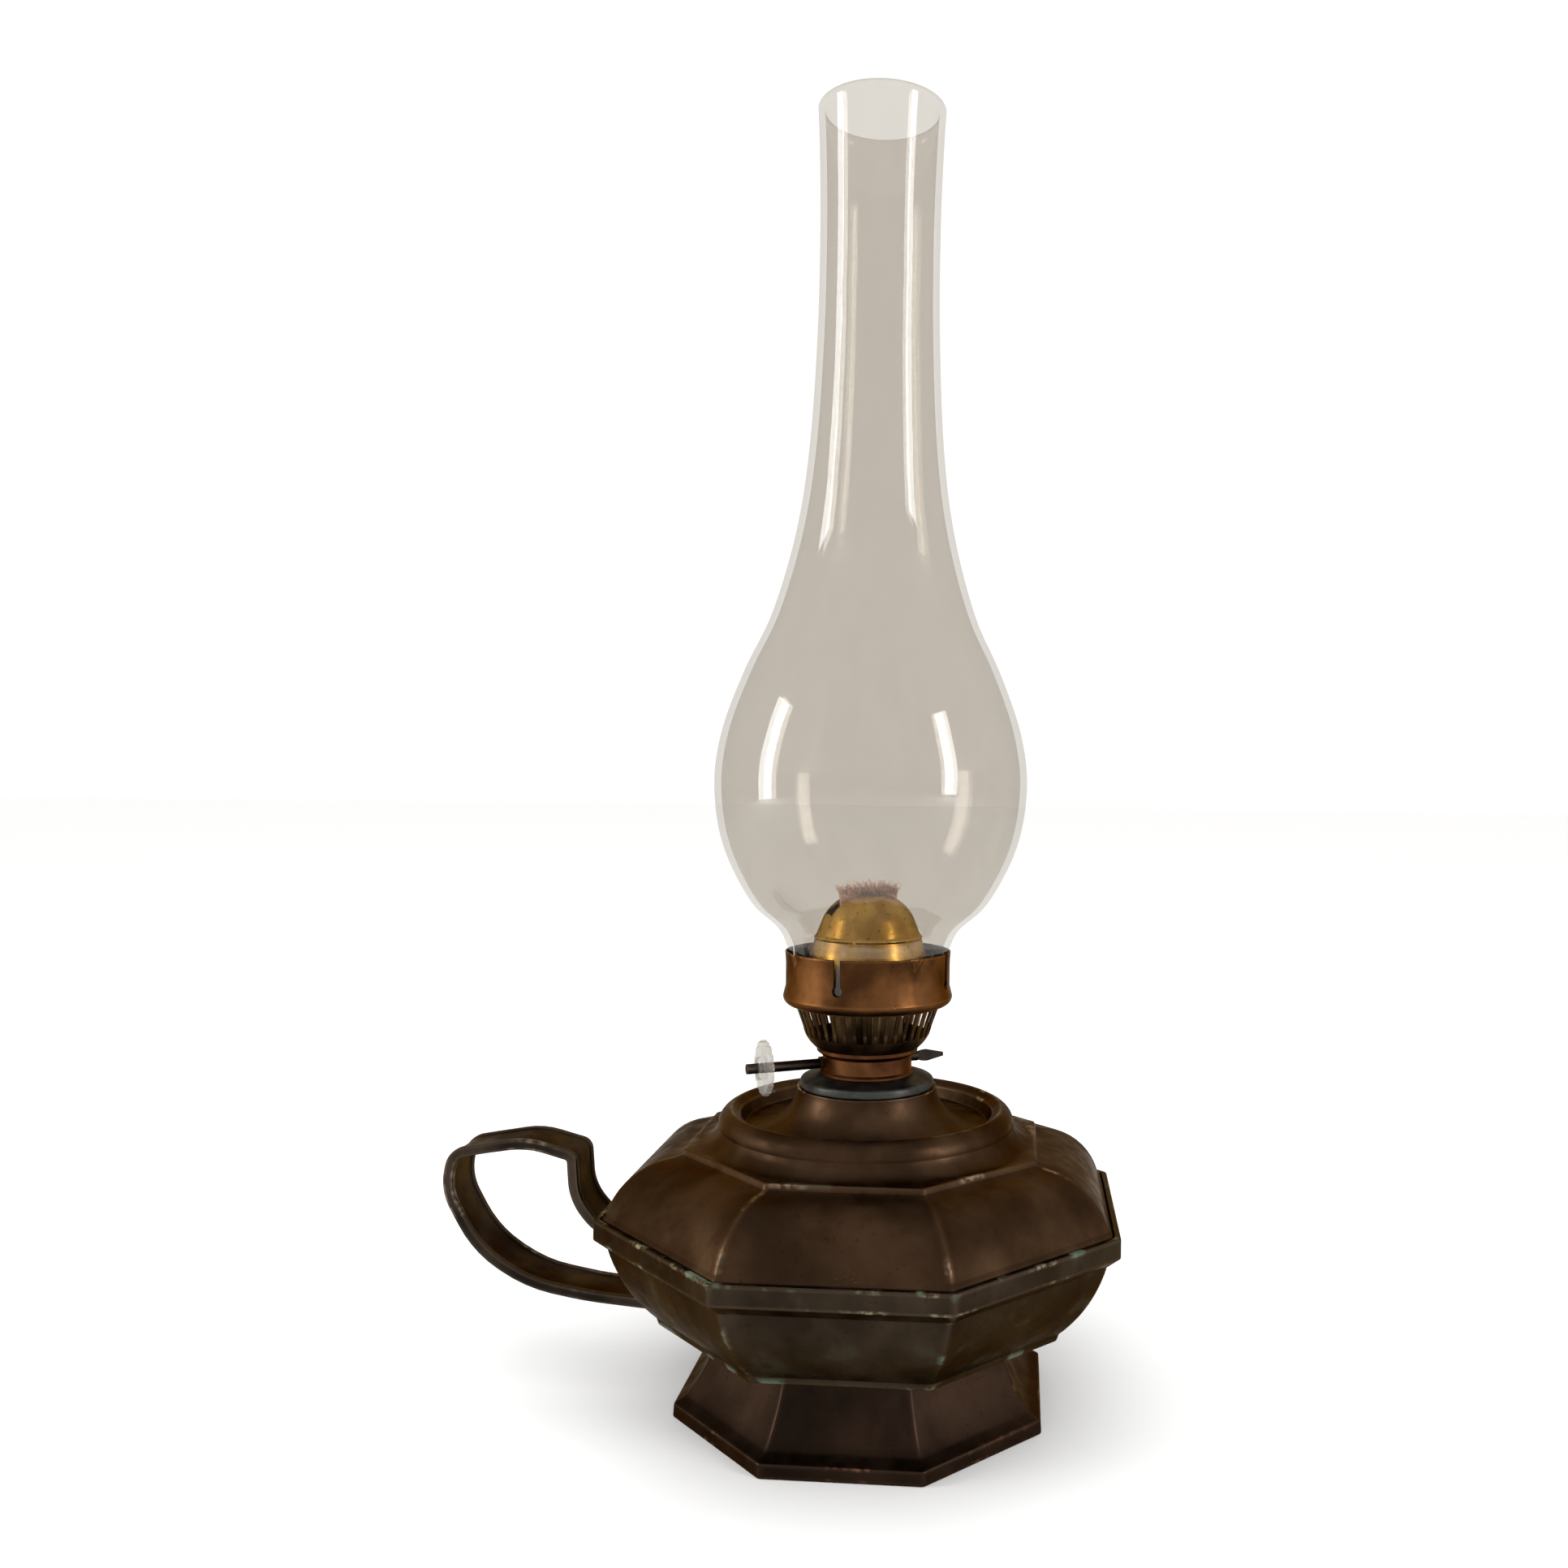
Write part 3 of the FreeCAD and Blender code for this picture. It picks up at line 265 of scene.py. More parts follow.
def lathe(name, corners, soft, steps=144, closed=True):
    """A round solid from its section's corners."""
    angles = [360 * k / steps for k in range(steps)]
    return turned(name, soften(outline(corners, 1), soft, closed), angles, closed)


def cut(piece, cutters, sharp=32):
    """Take the cutters out of a piece, and keep its cut edges crisp."""
    for cutter in cutters:
        change = piece.modifiers.new("cut", "BOOLEAN")
        change.operation = "DIFFERENCE"
        change.solver = "EXACT"
        change.object = cutter
    bpy.context.view_layer.update()
    ready = piece.evaluated_get(bpy.context.evaluated_depsgraph_get())
    mesh = bpy.data.meshes.new_from_object(ready)
    piece.modifiers.clear()
    piece.data = mesh
    mesh.polygons.foreach_set("use_smooth", [True] * len(mesh.polygons))
    mesh.set_sharp_from_angle(angle=math.radians(sharp))
    for cutter in cutters:
        bpy.data.objects.remove(cutter)


def block(name, low, high, azimuth=0):
    """A plain cutting block between two corners, turned about the lamp's axis."""
    turn = Matrix.Rotation(math.radians(azimuth), 3, "Z")
    places = [turn @ Vector((x, y, z)) for z in (low[2], high[2])
              for x, y in ((low[0], low[1]), (high[0], low[1]), (high[0], high[1]), (low[0], high[1]))]
    return link_mesh(name, places, joined_rings([places[:4], places[4:]], False))


SEAM_CLEAR = 3                  # millimetres beside a seam over which the dents die away


def dents(piece, size, depth, seams=()):
    """Shallow unevenness: each place moves along its normal by a slow noise, but not near the seams."""
    places = [vertex.co.copy() for vertex in piece.data.vertices]
    normals = [vertex.normal.copy() for vertex in piece.data.vertices]
    moved = []
    for place, normal in zip(places, normals):
        clear = min([1.0] + [abs(place.z / MM - level) / SEAM_CLEAR for level in seams])
        moved.extend(place + normal * (noise.noise(place / (size * MM)) * depth * clear * MM))
    piece.data.vertices.foreach_set("co", moved)
    piece.data.update()


# ---------------------------------------------------------------- material helpers

class Shade:
    """A node material as it is built."""

    def __init__(self, name):
        self.material = bpy.data.materials.new(name)
        self.material.use_nodes = True
        self.nodes = self.material.node_tree.nodes
        self.surface = self.nodes["Principled BSDF"]
        self.place = self.nodes.new("ShaderNodeTexCoord").outputs["Object"]

    def put(self, target, value):
        """Set an input to a number or colour, or link it to an output."""
        if isinstance(value, bpy.types.NodeSocket):
            self.material.node_tree.links.new(value, target)
        elif isinstance(value, tuple) and len(value) == 3 and target.type == "RGBA":
            target.default_value = (*value, 1)
        else:
            target.default_value = value

    def set(self, **values):
        """Set the surface's inputs by name, with _ for a space."""
        for name, value in values.items():
            self.put(self.surface.inputs[name.replace("_", " ")], value)

    def noise(self, grain, detail=5.0, stretch=(1, 1, 1)):
        """A noise whose features are about grain millimetres across."""
        scaled = self.nodes.new("ShaderNodeMapping")
        scaled.inputs["Scale"].default_value = stretch
        self.put(scaled.inputs["Vector"], self.place)
        made = self.nodes.new("ShaderNodeTexNoise")
        made.inputs["Scale"].default_value = 1 / (grain * MM)
        made.inputs["Detail"].default_value = detail
        self.put(made.inputs["Vector"], scaled.outputs["Vector"])
        return made.outputs["Fac"]

    def between(self, value, low, high, bottom=0.0, top=1.0):
        """A value mapped smoothly from low..high to bottom..top."""
        made = self.nodes.new("ShaderNodeMapRange")
        made.interpolation_type = "SMOOTHSTEP"
        self.put(made.inputs["Value"], value)
        for name, number in (("From Min", low), ("From Max", high), ("To Min", bottom), ("To Max", top)):
            self.put(made.inputs[name], number)
        return made.outputs["Result"]

    def maths(self, kind, first, second):
        """One sum of two values, kept between 0 and 1."""
        made = self.nodes.new("ShaderNodeMath")
        made.operation = kind
        made.use_clamp = True
        self.put(made.inputs[0], first)
        self.put(made.inputs[1], second)
        return made.outputs["Value"]

    def mix(self, share, first, second):
        """Two colours mixed by a share. A mix node's colours are its inputs 6 and 7 and its output 2."""
        made = self.nodes.new("ShaderNodeMix")
        made.data_type = "RGBA"
        self.put(made.inputs["Factor"], share)
        self.put(made.inputs[6], first)
        self.put(made.inputs[7], second)
        return made.outputs[2]

    def attribute(self, name):
        """A value that the mesh carries."""
        made = self.nodes.new("ShaderNodeAttribute")
        made.attribute_name = name
        return made.outputs["Fac"]

    def bump(self, height, strength, depth, before=None):
        """A bump of a depth in millimetres."""
        made = self.nodes.new("ShaderNodeBump")
        made.inputs["Strength"].default_value = strength
        made.inputs["Distance"].default_value = depth * MM
        self.put(made.inputs["Height"], height)
        if before is not None:
            self.put(made.inputs["Normal"], before)
        return made.outputs["Normal"]


VERDIGRIS = (0.075, 0.110, 0.070)
METAL_EDGE_TINT = (0.50, 0.44, 0.38)


def metal(name, dark, light, bare, rough=(0.34, 0.52), verdigris=0.0, specks=0.35, rub=1.0, blotch=18):
    """Tarnished metal: two patina colours in soft clouds, dark specks, rubbed spots along the edges."""
    shade = Shade(name)
    cloud = shade.between(shade.noise(blotch, 4.0), 0.34, 0.68)
    colour = shade.mix(cloud, dark, light)
    streak = shade.between(shade.noise(6, 6.0, (1, 1, 0.4)), 0.50, 0.72, 0.0, 0.30)
    colour = shade.mix(streak, colour, tuple(0.6 * c for c in dark))
    fine = shade.noise(0.9, 4.0)
    colour = shade.mix(shade.between(fine, 0.62, 0.72, 0.0, specks), colour, tuple(0.3 * c for c in dark))
    wear = shade.attribute("wear")
    polished = shade.maths("MULTIPLY", wear, 0.35)
    colour = shade.mix(polished, colour, tuple(1.7 * c for c in light))
    spots = shade.between(shade.noise(11.0, 3.0), 0.56, 0.66)
    broken = shade.maths("MULTIPLY", spots, shade.between(shade.noise(1.6, 6.0), 0.40, 0.60))
    edge = shade.maths("MULTIPLY", wear, broken)
    scuff = shade.maths("MULTIPLY", shade.between(shade.noise(26), 0.62, 0.74),
                        shade.between(shade.noise(0.6, 6.0, (1, 1, 3)), 0.54, 0.64, 0.0, 0.22))
    worn = shade.maths("MULTIPLY", shade.maths("ADD", edge, scuff), rub)
    colour = shade.mix(worn, colour, bare)
    roughness = shade.between(shade.noise(4.0, 6.0), 0.3, 0.7, rough[0], rough[1])
    roughness = shade.maths("SUBTRACT", roughness, shade.maths("MULTIPLY", wear, 0.10))
    metallic = 1.0
    if verdigris:
        place = shade.maths("ADD", shade.maths("MULTIPLY", wear, 0.9), 0.06)
        patch = shade.maths("MULTIPLY", shade.between(shade.noise(9.0, 8.0), 0.56, 0.64), verdigris)
        patch = shade.maths("MULTIPLY", patch, place)
        colour = shade.mix(patch, colour, VERDIGRIS)
        roughness = shade.maths("ADD", roughness, shade.maths("MULTIPLY", patch, 0.35))
        metallic = shade.maths("SUBTRACT", 1.0, shade.maths("MULTIPLY", patch, 0.8))
    pits = shade.bump(fine, 0.18, 0.04)
    shade.set(Base_Color=colour, Roughness=roughness, Metallic=metallic, Specular_Tint=METAL_EDGE_TINT,
              Normal=shade.bump(shade.noise(7.0, 3.0), 0.16, 0.15, pits))
    return shade.material


def felt(name, dark, light):
    """Pressed felt: matted short fibres, with a soft sheen."""
    shade = Shade(name)
    fibres = shade.noise(0.35, 8.0, (1, 3, 1))
    colour = shade.mix(shade.between(fibres, 0.35, 0.65), dark, light)
    shade.set(Base_Color=colour, Roughness=0.95, Sheen_Weight=0.4, Normal=shade.bump(fibres, 0.8, 0.15))
    return shade.material


def cotton(name, clean, stained, tips):
    """Woven cotton: threads across the strip, oil stains, pinkish scorched ends, and painted shade in the
    gaps between the threads.
    """
    shade = Shade(name)
    threads = shade.noise(0.28, 6.0, (1, 1, 0.4))
    colour = shade.mix(shade.between(shade.noise(3.0, 4.0), 0.40, 0.62), clean, stained)
    colour = shade.mix(shade.maths("MULTIPLY", shade.attribute("wear"),
                                   shade.between(shade.noise(1.1), 0.42, 0.56)), colour, tips)
    # Painted shade: the gaps between the threads are darkened as if shade falls into the weave.
    shaded_gaps = shade.between(threads, 0.52, 0.72, 0.0, 0.35)
    colour = shade.mix(shaded_gaps, colour, tuple(0.5 * c for c in stained))
    shade.set(Base_Color=colour, Roughness=0.9, Sheen_Weight=0.3, Normal=shade.bump(threads, 0.6, 0.12))
    return shade.material


def thin_glass(name, tint_and_room_shade, edge_tint_and_room_shade, film):
    """Old blown glass: light passes each skin tinted, more so at a slant, and a thin film dulls it. A tint
    may be darker than the glass alone, as painted shade for a dim room seen through it.
    """
    shade = Shade(name)
    facing = shade.nodes.new("ShaderNodeLayerWeight")
    facing.inputs["Blend"].default_value = 0.5
    slant = shade.between(facing.outputs["Facing"], 0.45, 1.0)
    clear = shade.nodes.new("ShaderNodeBsdfTransparent")
    # The see-through colour: the glass's own tint, and for the chimney also painted shade for the dim room
    # behind it.
    shade.put(clear.inputs["Color"], shade.mix(slant, tint_and_room_shade, edge_tint_and_room_shade))
    dull = shade.nodes.new("ShaderNodeBsdfTranslucent")
    dull.inputs["Color"].default_value = (0.60, 0.56, 0.50, 1)
    dust = shade.nodes.new("ShaderNodeBsdfDiffuse")
    dust.inputs["Color"].default_value = (0.55, 0.51, 0.46, 1)
    both = shade.nodes.new("ShaderNodeMixShader")
    shade.put(both.inputs["Fac"], 0.5)
    shade.put(both.inputs[1], dull.outputs["BSDF"])
    shade.put(both.inputs[2], dust.outputs["BSDF"])
    haze = shade.nodes.new("ShaderNodeMixShader")
    smears = shade.between(shade.noise(9.0, 6.0, (1, 1, 0.3)), 0.35, 0.75, film * 0.4, film * 1.6)
    shade.put(haze.inputs["Fac"], smears)
    shade.put(haze.inputs[1], clear.outputs["BSDF"])
    shade.put(haze.inputs[2], both.outputs["Shader"])
    gloss = shade.nodes.new("ShaderNodeBsdfGlossy")
    shade.put(gloss.inputs["Roughness"], shade.between(shade.noise(2.0), 0.4, 0.8, 0.03, 0.10))
    ripple = shade.bump(shade.noise(16.0, 2.0, (1, 1, 0.5)), 0.4, 0.5)
    shade.put(gloss.inputs["Normal"], ripple)
    steep = shade.maths("POWER", facing.outputs["Facing"], 5.0)
    mirror = shade.maths("ADD", shade.maths("MULTIPLY", steep, 0.32), 0.045)
    whole = shade.nodes.new("ShaderNodeMixShader")
    shade.put(whole.inputs["Fac"], mirror)
    shade.put(whole.inputs[1], haze.outputs["Shader"])
    shade.put(whole.inputs[2], gloss.outputs["BSDF"])
    shade.nodes.remove(shade.surface)
    shade.put(shade.nodes["Material Output"].inputs["Surface"], whole.outputs["Shader"])
    return shade.material


MATERIALS = {
    "foot_bronze": metal("foot_bronze", (0.0135, 0.0085, 0.0055), (0.028, 0.016, 0.0105),
                         (0.13, 0.062, 0.034)),
    "bowl_bronze": metal("bowl_bronze", (0.019, 0.0135, 0.0090), (0.040, 0.028, 0.0185), (0.24, 0.20, 0.13),
                         verdigris=0.9),
    "shoulder_bronze": metal("shoulder_bronze", (0.025, 0.0135, 0.0072), (0.054, 0.029, 0.0155),
                             (0.24, 0.17, 0.11), verdigris=0.2),
    "strap_bronze": metal("strap_bronze", (0.013, 0.010, 0.008), (0.046, 0.033, 0.024), (0.15, 0.12, 0.09)),
    "plate_steel": metal("plate_steel", (0.16, 0.15, 0.14), (0.30, 0.29, 0.27), (0.5, 0.48, 0.45)),
    "fixing_steel": metal("fixing_steel", (0.20, 0.19, 0.18), (0.38, 0.36, 0.34), (0.6, 0.58, 0.55)),
    "collar_zinc": metal("collar_zinc", (0.030, 0.027, 0.023), (0.058, 0.060, 0.058), (0.13, 0.13, 0.12),
                         blotch=6),
    "neck_copper": metal("neck_copper", (0.046, 0.017, 0.007), (0.105, 0.042, 0.016), (0.35, 0.17, 0.08),
                         blotch=7),
    "inner_brass": metal("inner_brass", (0.05, 0.032, 0.014), (0.16, 0.10, 0.045), (0.4, 0.28, 0.13),
                         blotch=6),
    "basket_brass": metal("basket_brass", (0.036, 0.019, 0.009), (0.085, 0.047, 0.022), (0.20, 0.11, 0.050),
                          blotch=6),
    "gallery_copper": metal("gallery_copper", (0.040, 0.0165, 0.0060), (0.105, 0.043, 0.0145),
                            (0.34, 0.17, 0.075), blotch=9),
    "dome_brass": metal("dome_brass", (0.36, 0.20, 0.042), (0.62, 0.38, 0.095), (0.85, 0.62, 0.28),
                        rough=(0.24, 0.42), specks=0.85, blotch=6),
    "spindle_steel": metal("spindle_steel", (0.020, 0.015, 0.012), (0.060, 0.046, 0.036), (0.2, 0.16, 0.12)),
    "base_felt": felt("base_felt", (0.010, 0.030, 0.016), (0.030, 0.075, 0.040)),
    "wick_cotton": cotton("wick_cotton", (0.66, 0.42, 0.25), (0.38, 0.20, 0.11), (0.50, 0.15, 0.09)),
    # The chimney's tints are darker than its glass alone: painted shade that stands for a dim room seen
    # through the glass.
    "chimney_glass": thin_glass("chimney_glass", (0.835, 0.815, 0.785), (0.81, 0.79, 0.76), 0.03),
    "knob_clear": thin_glass("knob_clear", (0.88, 0.87, 0.84), (0.60, 0.58, 0.55), 0.28),
}


def keep_unworn(piece, low, high):
    """A seam between two levels, in millimetres, where nothing rubs the metal."""
    wear = piece.data.attributes["wear"].data
    for vertex in piece.data.vertices:
        if low < vertex.co.z / MM < high:
            wear[vertex.index].value = 0


def finish_piece(piece, body, slot_name, *nodes):
    """Give a piece its material, the slot it is painted from, its body and the CAD nodes it stands for."""
    piece.data.materials.clear()
    piece.data.materials.append(MATERIALS[slot_name])
    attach(piece, body)
    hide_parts(*nodes)
    return piece


# ---------------------------------------------------------------- tank, foot and collar

FOOT = outline([
    (2.6, 19.8), (2.6, 18.2), (27.5, 18.2, 32.8, 1), (34.1, 4.4), (36.6, 2.6), (36.6, 0.0),
    (38.7, 0.0), (38.5, 2.8), (36.5, 3.9), (35.9, 4.4, 31, -1), (29.3, 19.8)])
BOWL = outline([
    (2.6, 21.4), (2.6, 19.8), (41.6, 19.8), (42.1, 21.3, 34, 1), (51.5, 36.8), (54.2, 39.0), (54.2, 43.1),
    (52.9, 43.1), (52.9, 42.4), (49.9, 42.4), (49.9, 36.8, 34, -1), (40.5, 22.9), (40.0, 21.4)])
SHOULDER = outline([
    (50.3, 42.4), (52.7, 42.4), (52.5, 43.2), (51.9, 43.9, 15.3, 1), (38.9, 54.7), (37.5, 55.2),
    (37.0, 56.3)])
SHOULDER += outline([
    (36.3, 56.3, 4.6, -1), (32.3, 59.2, 3.3, 1), (29.6, 63.0), (27.6, 61.8), (26.6, 59.3),
    (24.2, 59.3, 8.6, -1), (15.3, 67.0), (15.3, 67.4), (10.9, 67.4), (10.9, 65.8), (13.8, 65.8, 10.2, 1),
    (23.6, 57.7), (27.4, 57.7), (29.1, 60.9), (31.2, 57.8), (34.8, 54.9)], 1)
SHOULDER += outline([(37.0, 53.8), (38.3, 53.2, 13.7, -1), (50.3, 43.7)])

TANK_SEAMS = (0.0, 19.8, 43.0, 67.4)        # the levels where pieces of the tank meet others
UNWORN_LOW, UNWORN_HIGH = 42, 44.2

for name, section, slot_name, node in (
        ("foot_shell", FOOT, "foot_bronze", "foot"),
        ("bowl_shell", BOWL, "bowl_bronze", "font_lower"),
        ("shoulder_shell", SHOULDER, "shoulder_bronze", "font_upper")):
    shell = turned(name, soften(section, 0.45), OCTAGON_ANGLES)
    dents(shell, 20, 0.07, TANK_SEAMS)
    if name == "shoulder_shell":
        keep_unworn(shell, UNWORN_LOW, UNWORN_HIGH)
    finish_piece(shell, "lamp_base", slot_name, node)

PAD = [(36.0, 0.0, 0, 0), (36.35, 0.15, 0, 0), (36.4, 0.6, 0, 0), (36.3, 1.0, 0, 0), (36.0, 1.2, 0, 0)]
finish_piece(turned("felt_disc", PAD, OCTAGON_ANGLES, False), "lamp_base", "base_felt", "felt_pad")

collar = lathe("collar_ring", [
    (9.36, 61.0), (10.88, 61.0), (10.88, 67.4), (14.7, 67.4), (14.7, 68.5, 0.9, 1), (14.0, 69.3),
    (10.45, 70.3), (9.36, 70.3)], 0.25)
finish_piece(collar, "lamp_base", "collar_zinc", "collar")


# ---------------------------------------------------------------- strap handle

STRAP_LINE = [
    (-41.2, 18.9, 0), (-60, 20.3, 90), (-74.5, 22.9, 31), (-86, 30.2, 25), (-93.2, 42.8, 11.5),
    (-91.6, 50.8, 3.9), (-84, 52.2, 80), (-75, 53.7, 19), (-64.6, 51, 1.8), (-63.9, 41.5, 12),
    (-58.2, 34.9, 10), (-48.6, 33.4, 0)]
STRAP_SECTION = [
    (-6.0, -1.1), (-4.7, -1.1), (-4.7, -0.75), (4.7, -0.75), (4.7, -1.1), (6.0, -1.1),
    (6.0, 1.1), (4.7, 1.1), (4.7, 0.75), (-4.7, 0.75), (-4.7, 1.1), (-6.0, 1.1)]


def rounded_path(corners, step=5):
    """Places along a line with its corners rounded: (place, direction)."""
    places = []
    points = [Vector(c[:2]) for c in corners]
    for index, here in enumerate(points):
        if index in (0, len(points) - 1):
            way = (points[1] - here) if index == 0 else (here - points[-2])
            places.append((here, way.normalized()))
            continue
        back = (here - points[index - 1]).normalized()
        ahead = (points[index + 1] - here).normalized()
        turn = math.atan2(back.cross(ahead), back.dot(ahead))
        radius = corners[index][2]
        start = here - back * radius * math.tan(abs(turn) / 2)
        side = 1 if turn > 0 else -1
        centre = start + Vector((-back.y, back.x)) * radius * side
        steps = max(3, int(math.degrees(abs(turn)) / step))
        for k in range(steps + 1):
            spin = Matrix.Rotation(turn * k / steps, 2)
            places.append((centre + spin @ (start - centre), spin @ back))
    return places


def add_strap():
    """The handle: a band with a raised rib along each edge, carried along its line."""
    section = soften([(y, n, 0) for y, n in STRAP_SECTION], 0.3)
    path = []
    for place, way in rounded_path(STRAP_LINE):
        if path and (place - path[-1][0]).length > 3:
            gap = place - path[-1][0]
            pieces = int(gap.length / 2)
            path += [(path[-1][0] + gap * k / pieces, gap.normalized()) for k in range(1, pieces)]
        path.append((place, way))
    rings = [[(place.x - way.y * n, y, place.y + way.x * n) for y, n, _, _ in section]
             for place, way in path]
    wear = [rubbed for _ in path for _, _, _, rubbed in section]
    strap = link_mesh("strap_handle", [p for ring in rings for p in ring], joined_rings(rings, False), wear)
    dents(strap, 9, 0.08)
    return finish_piece(strap, "lamp_base", "strap_bronze", "handle")


add_strap()


# ---------------------------------------------------------------- burner

SLIT_AZIMUTH, SLIT_HALF, SLIT_LOW, SLIT_HIGH = -104.5, 0.72, 90.9, 98
KEYHOLE_RADIUS, KEYHOLE_LEVEL, KEYHOLE_STEPS = 1.1, 90.4, 24
CUT_NEAR, CUT_FAR = 15, 20      # the slits are cut between these two distances from the axis
gallery = lathe("gallery_crown", [
    (13.2, 85.75), (13.2, 85.3), (16.6, 85.3, 2.1, 1), (18.65, 87.2), (18.05, 89.6), (18.05, 93.4),
    (18.05, 94.2), (18.07, 94.8), (18.10, 95.4), (18.15, 96.0), (18.20, 96.5), (18.25, 97.0),
    (17.80, 97.0), (17.75, 96.5), (17.70, 96.0), (17.65, 95.4), (17.62, 94.8), (17.60, 94.2),
    (17.60, 93.4), (17.60, 89.6), (18.20, 87.2, 1.65, -1), (16.6, 85.75)], 0.15, 288)
slits = [block("slit", (CUT_NEAR, -SLIT_HALF, SLIT_LOW), (CUT_FAR, SLIT_HALF, SLIT_HIGH),
               SLIT_AZIMUTH + 90 * k) for k in range(4)]
for k in range(4):
    angles = [t * math.pi / (KEYHOLE_STEPS / 2) for t in range(KEYHOLE_STEPS)]
    ring = [(KEYHOLE_RADIUS * math.cos(a), KEYHOLE_RADIUS * math.sin(a) + KEYHOLE_LEVEL) for a in angles]
    turn = Matrix.Rotation(math.radians(SLIT_AZIMUTH + 90 * k), 3, "Z")
    ends = [[turn @ Vector((x, y, z)) for y, z in ring] for x in (CUT_NEAR, CUT_FAR)]
    slits.append(link_mesh("keyhole", ends[0] + ends[1], joined_rings(ends, False)))
cut(gallery, slits)
# A small V pressed into the rim between each two slits: a ridge along its edges, and a hollow inside.
CRIMP_AZIMUTH, CRIMP_HALF, CRIMP_EDGE = -51.0, 6.0, 1.5
CRIMP_LOW, CRIMP_HIGH, RIDGE, HOLLOW = 94.2, 97.0, 0.45, 0.25
for vertex in gallery.data.vertices:
    angle = math.degrees(math.atan2(vertex.co.y, vertex.co.x))
    off = abs((angle - CRIMP_AZIMUTH + 45) % 90 - 45)
    rise = (vertex.co.z / MM - CRIMP_LOW) / (CRIMP_HIGH - CRIMP_LOW)
    if rise > 0:
        from_edge = off - CRIMP_HALF * rise
        push = RIDGE * max(0, 1 - abs(from_edge) / CRIMP_EDGE) - HOLLOW * (from_edge < -CRIMP_EDGE / 2)
        vertex.co.xy += vertex.co.xy.normalized() * push * MM
gallery.data.update()
finish_piece(gallery, "burner", "gallery_copper", "gallery")

BURNER_AZIMUTH = 27.5
SLOT_REACH, SLOT_HALF, SLOT_LOW, SLOT_HIGH = 9.4, 2.2, 98, 112
dome = lathe("flame_cap", [
    (14.5, 86.15), (15.1, 86.15), (15.1, 86.6), (14.5, 86.6), (12.8, 96.3), (11.8, 99.6), (11.95, 100.1),
    (11.45, 100.6), (10.5, 103.0, 9.8, 1), (4.6, 109.1, 22, 1), (0.3, 109.6), (0.3, 109.15, 21.6, -1),
    (4.3, 108.65, 9.35, -1), (10.05, 103.0), (11.0, 100.6), (11.5, 100.1), (11.35, 99.6), (12.35, 96.3),
    (14.05, 86.6)], 0.12, 96)
cut(dome, [block("flame_slot", (-SLOT_REACH, -SLOT_HALF, SLOT_LOW), (SLOT_REACH, SLOT_HALF, SLOT_HIGH),
                 BURNER_AZIMUTH)])
finish_piece(dome, "dome", "dome_brass", "flame_dome")


# ---------------------------------------------------------------- wick raiser and wick

ALONG = Vector((math.cos(math.radians(BURNER_AZIMUTH)), math.sin(math.radians(BURNER_AZIMUTH)), 0))
ACROSS = Vector((-ALONG.y, ALONG.x, 0))
UP = Vector((0, 0, 1))
SPINDLE_ACROSS, SPINDLE_LEVEL = 3.9, 71.9
KNOB_ALONG, KNOB_RADIUS = -22.9, 6.0
SCALLOPS, SCALLOP_STEPS = 16, 12
SCALLOP_CENTRE, SCALLOP_RADIUS = 6.1, 0.55


def on_spindle(along, across, up):
    """A place near the spindle: along its line, and across it in two directions."""
    return ALONG * along + ACROSS * (SPINDLE_ACROSS + across) + UP * (SPINDLE_LEVEL + up)


def add_knob():
    """The wick raiser's wheel, with a hub and a scalloped rim."""
    section = soften([(1.1, -1.15, 1), (2.4, -1.15, 1), (2.4, -0.05, 1), (KNOB_RADIUS, -0.05, 1),
                      (KNOB_RADIUS, 1.15, 1), (1.1, 1.15, 1)], 0.3)
    steps = SCALLOPS * SCALLOP_STEPS
    rings = []
    for radius, level, _, _ in section:
        ring = []
        for k in range(steps):
            angle = 2 * math.pi * k / steps
            off = (angle + math.pi / SCALLOPS) % (2 * math.pi / SCALLOPS) - math.pi / SCALLOPS
            aside = SCALLOP_CENTRE * math.sin(off)
            reach = radius
            if radius > KNOB_RADIUS - 1 and abs(aside) < SCALLOP_RADIUS:
                notch = SCALLOP_CENTRE * math.cos(off) - math.sqrt(SCALLOP_RADIUS ** 2 - aside ** 2)
                reach = min(radius, notch - (KNOB_RADIUS - radius))
            ring.append(on_spindle(level + KNOB_ALONG, reach * math.cos(angle), reach * math.sin(angle)))
        rings.append(ring)
    knob = link_mesh("raiser_wheel", [p for ring in rings for p in ring], joined_rings(rings, True))
    knob.data.set_sharp_from_angle(angle=math.radians(40))
    return finish_piece(knob, "wick_raiser", "knob_clear", "wick_knob")


add_knob()

WICK_HALF, WICK_THICK, WICK_LOW, WICK_HIGH = 6.75, 1.15, 33.5, 109.2
WARPS, ROW, WEAVE = 15, 0.9, 0.09
SCORCHED = 1.2                  # how much of the strip's top is discoloured
FRAY_HALF = 6.95                # how far a loose thread may reach along the slot; the tube's bore is 7.25
THREAD_LENGTH, THREAD_HALF = (2.4, 4.6), (0.11, 0.19)
THREAD_STEPS = 5
THREAD_CORNERS = (0, 1.2566, 2.5133, 3.7699, 5.0265)


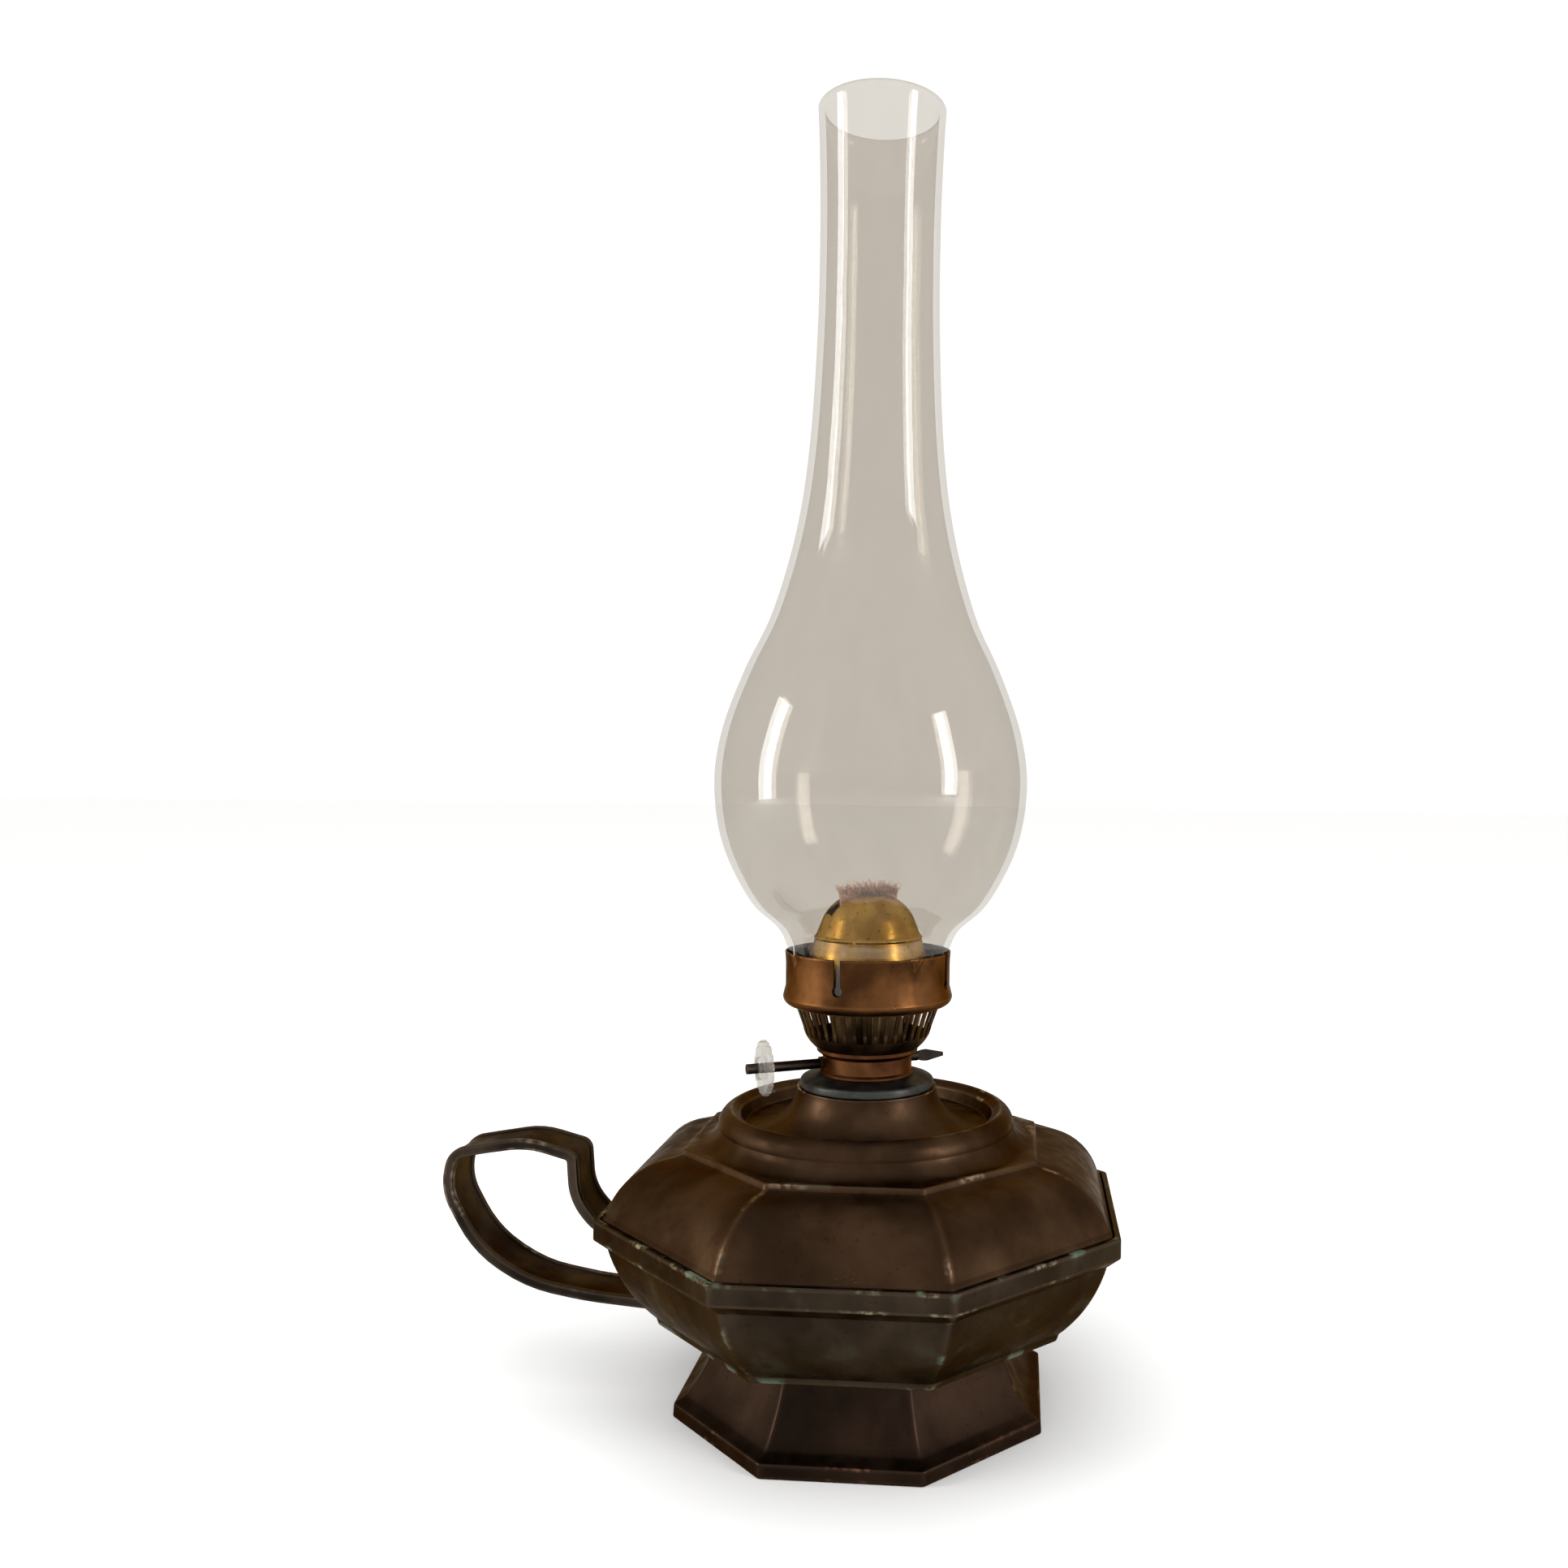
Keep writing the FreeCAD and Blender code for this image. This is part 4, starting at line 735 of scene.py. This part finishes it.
def add_wick():
    """The wick: a flat strip of plain weave, its raised threads changing sides row by row."""
    long_side = 60
    sides = [(-1 + 2 * k / long_side, -1) for k in range(long_side)]
    sides += [(1 - 2 * k / long_side, 1) for k in range(long_side)]
    rows = int((WICK_HIGH - WICK_LOW) / ROW) * 3
    rings, wear = [], []
    for row in range(rows + 1):
        up = WICK_LOW + (WICK_HIGH - WICK_LOW) * row / rows
        ring = []
        for share, face in sides:
            weave = math.sin(math.pi * WARPS * share) * math.sin(math.pi * up / ROW)
            edge = math.sqrt(max(0, 1 - abs(share) ** 8))
            depth = (WICK_THICK - WEAVE + WEAVE * weave * face) * (0.35 + 0.65 * edge)
            along = WICK_HALF * share
            top = up + (0.5 * noise.noise(Vector((along * 0.9, face, 3.1))) if row == rows else 0)
            ring.append(ALONG * along + ACROSS * depth * face + UP * top)
            wear.append(max(0, 1 - (WICK_HIGH - up) / SCORCHED))
        rings.append(ring)
    places = [p for ring in rings for p in ring]
    strip = link_mesh("wick_strip_weave", places, joined_rings(rings, False), wear)
    return finish_piece(strip, "wick_strip", "wick_cotton", "wick")


def add_fray(strands=420):
    """Loose threads at the wick's end, each a thin tapered tube that leans outwards and curls."""
    rnd = random.Random(SEED)
    vertices, faces, wear = [], [], []
    for _ in range(strands):
        along = rnd.uniform(-WICK_HALF + 0.2, WICK_HALF - 0.2)
        face = rnd.uniform(-0.8, 0.8)
        root = ALONG * along + ACROSS * face + UP * (WICK_HIGH - rnd.uniform(0.4, 1.0))
        lean = ALONG * (along / WICK_HALF * 0.30 + rnd.gauss(0, 0.35))
        lean += ACROSS * (face * 0.7 + rnd.gauss(0, 0.3))
        curl = ALONG * rnd.gauss(0, 0.5) + ACROSS * rnd.gauss(0, 0.4) - UP * rnd.uniform(0, 0.5)
        crown = math.sqrt(1 - 0.5 * (along / WICK_HALF) ** 2)
        length = rnd.uniform(*THREAD_LENGTH) * crown
        thick = rnd.uniform(*THREAD_HALF)
        tip = rnd.choice((0.1, 0.5, 1.0))
        rings = []
        for k in range(THREAD_STEPS + 1):
            t = k / THREAD_STEPS
            middle = root + (UP + lean * t + curl * t * t) * length * t
            reach = middle.dot(ALONG)
            middle -= ALONG * (reach - max(-FRAY_HALF, min(FRAY_HALF, reach)))
            size = thick * (1 - 0.75 * t)
            rings.append([middle + ALONG * size * math.cos(a) + ACROSS * size * math.sin(a)
                          for a in THREAD_CORNERS])
            wear += [t * tip] * len(THREAD_CORNERS)
        first = len(vertices)
        vertices += [p for ring in rings for p in ring]
        faces += [tuple(first + v for v in corners) for corners in joined_rings(rings, False)]
    return link_mesh("wick_fray", vertices, faces, wear)


add_wick()
fray = add_fray()
fray.data.materials.append(MATERIALS["wick_cotton"])
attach(fray, "wick_strip")
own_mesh(fray)


# ---------------------------------------------------------------- chimney

CHIMNEY_LINE = [
    (17.4, 96.6), (19.9, 101.9), (26.2, 108), (32.2, 120), (34.3, 133), (32.8, 145), (28.2, 158),
    (22.3, 171), (17.4, 189), (14.8, 208), (13.5, 233), (13.3, 256), (13.7, 273), (14.15, 282.3)]
CHIMNEY_LOW, GLASS, CHIMNEY_LEAN = 86.35, 1.5, 0.42
CHIMNEY_SIDES, HEEL_ROUND = 128, 0.3


def smooth_line(points, steps=6):
    """A smooth curve through points: a Catmull-Rom curve, with its ends carried on straight."""
    places = [Vector(p) for p in points]
    places = [places[0] * 2 - places[1]] + places + [places[-1] * 2 - places[-2]]
    out = [places[1]]
    for a, b, c, d in zip(places, places[1:], places[2:], places[3:]):
        for k in range(1, steps + 1):
            t = k / steps
            out.append(0.5 * (b * 2 + (c - a) * t + (a * 2 - b * 5 + c * 4 - d) * t ** 2
                              + (b * 3 - a - c * 3 + d) * t ** 3))
    return out


def add_chimney():
    """The glass: a heel, a bulb and a long tube, with both skins and a ground mouth."""
    line = smooth_line(CHIMNEY_LINE)
    heel = CHIMNEY_LINE[0][0]
    outer = [(heel, CHIMNEY_LOW + HEEL_ROUND + k) for k in (0, 2.5, 5, 7.5)] + [tuple(p) for p in line]
    inner = [(x - GLASS, z) for x, z in reversed(outer)]
    low = [(heel - HEEL_ROUND, CHIMNEY_LOW), (heel - GLASS + HEEL_ROUND, CHIMNEY_LOW)]
    section = [(x, z, 1, 0.0) for x, z in inner + [low[1], low[0]] + outer]
    glass = turned("chimney_blown", section, [360 * k / CHIMNEY_SIDES for k in range(CHIMNEY_SIDES)])
    turn = Matrix.Rotation(math.radians(CHIMNEY_LEAN), 4, "Y")
    centre = Matrix.Translation((0, 0, CHIMNEY_LOW * MM))
    glass.data.transform(centre @ turn @ centre.inverted())
    return finish_piece(glass, "glass", "chimney_glass", "chimney")


add_chimney()


# ---------------------------------------------------------------- CAD nodes that stay

for row in frame["record"]["subparts"]:
    kept = frame["nodes"][row["node"]]
    if not kept.hide_render:
        for place in kept.material_slots:
            place.material = MATERIALS[row["material_slot"]]


# ---------------------------------------------------------------- scene

add_camera()
add_floor()
add_lights()
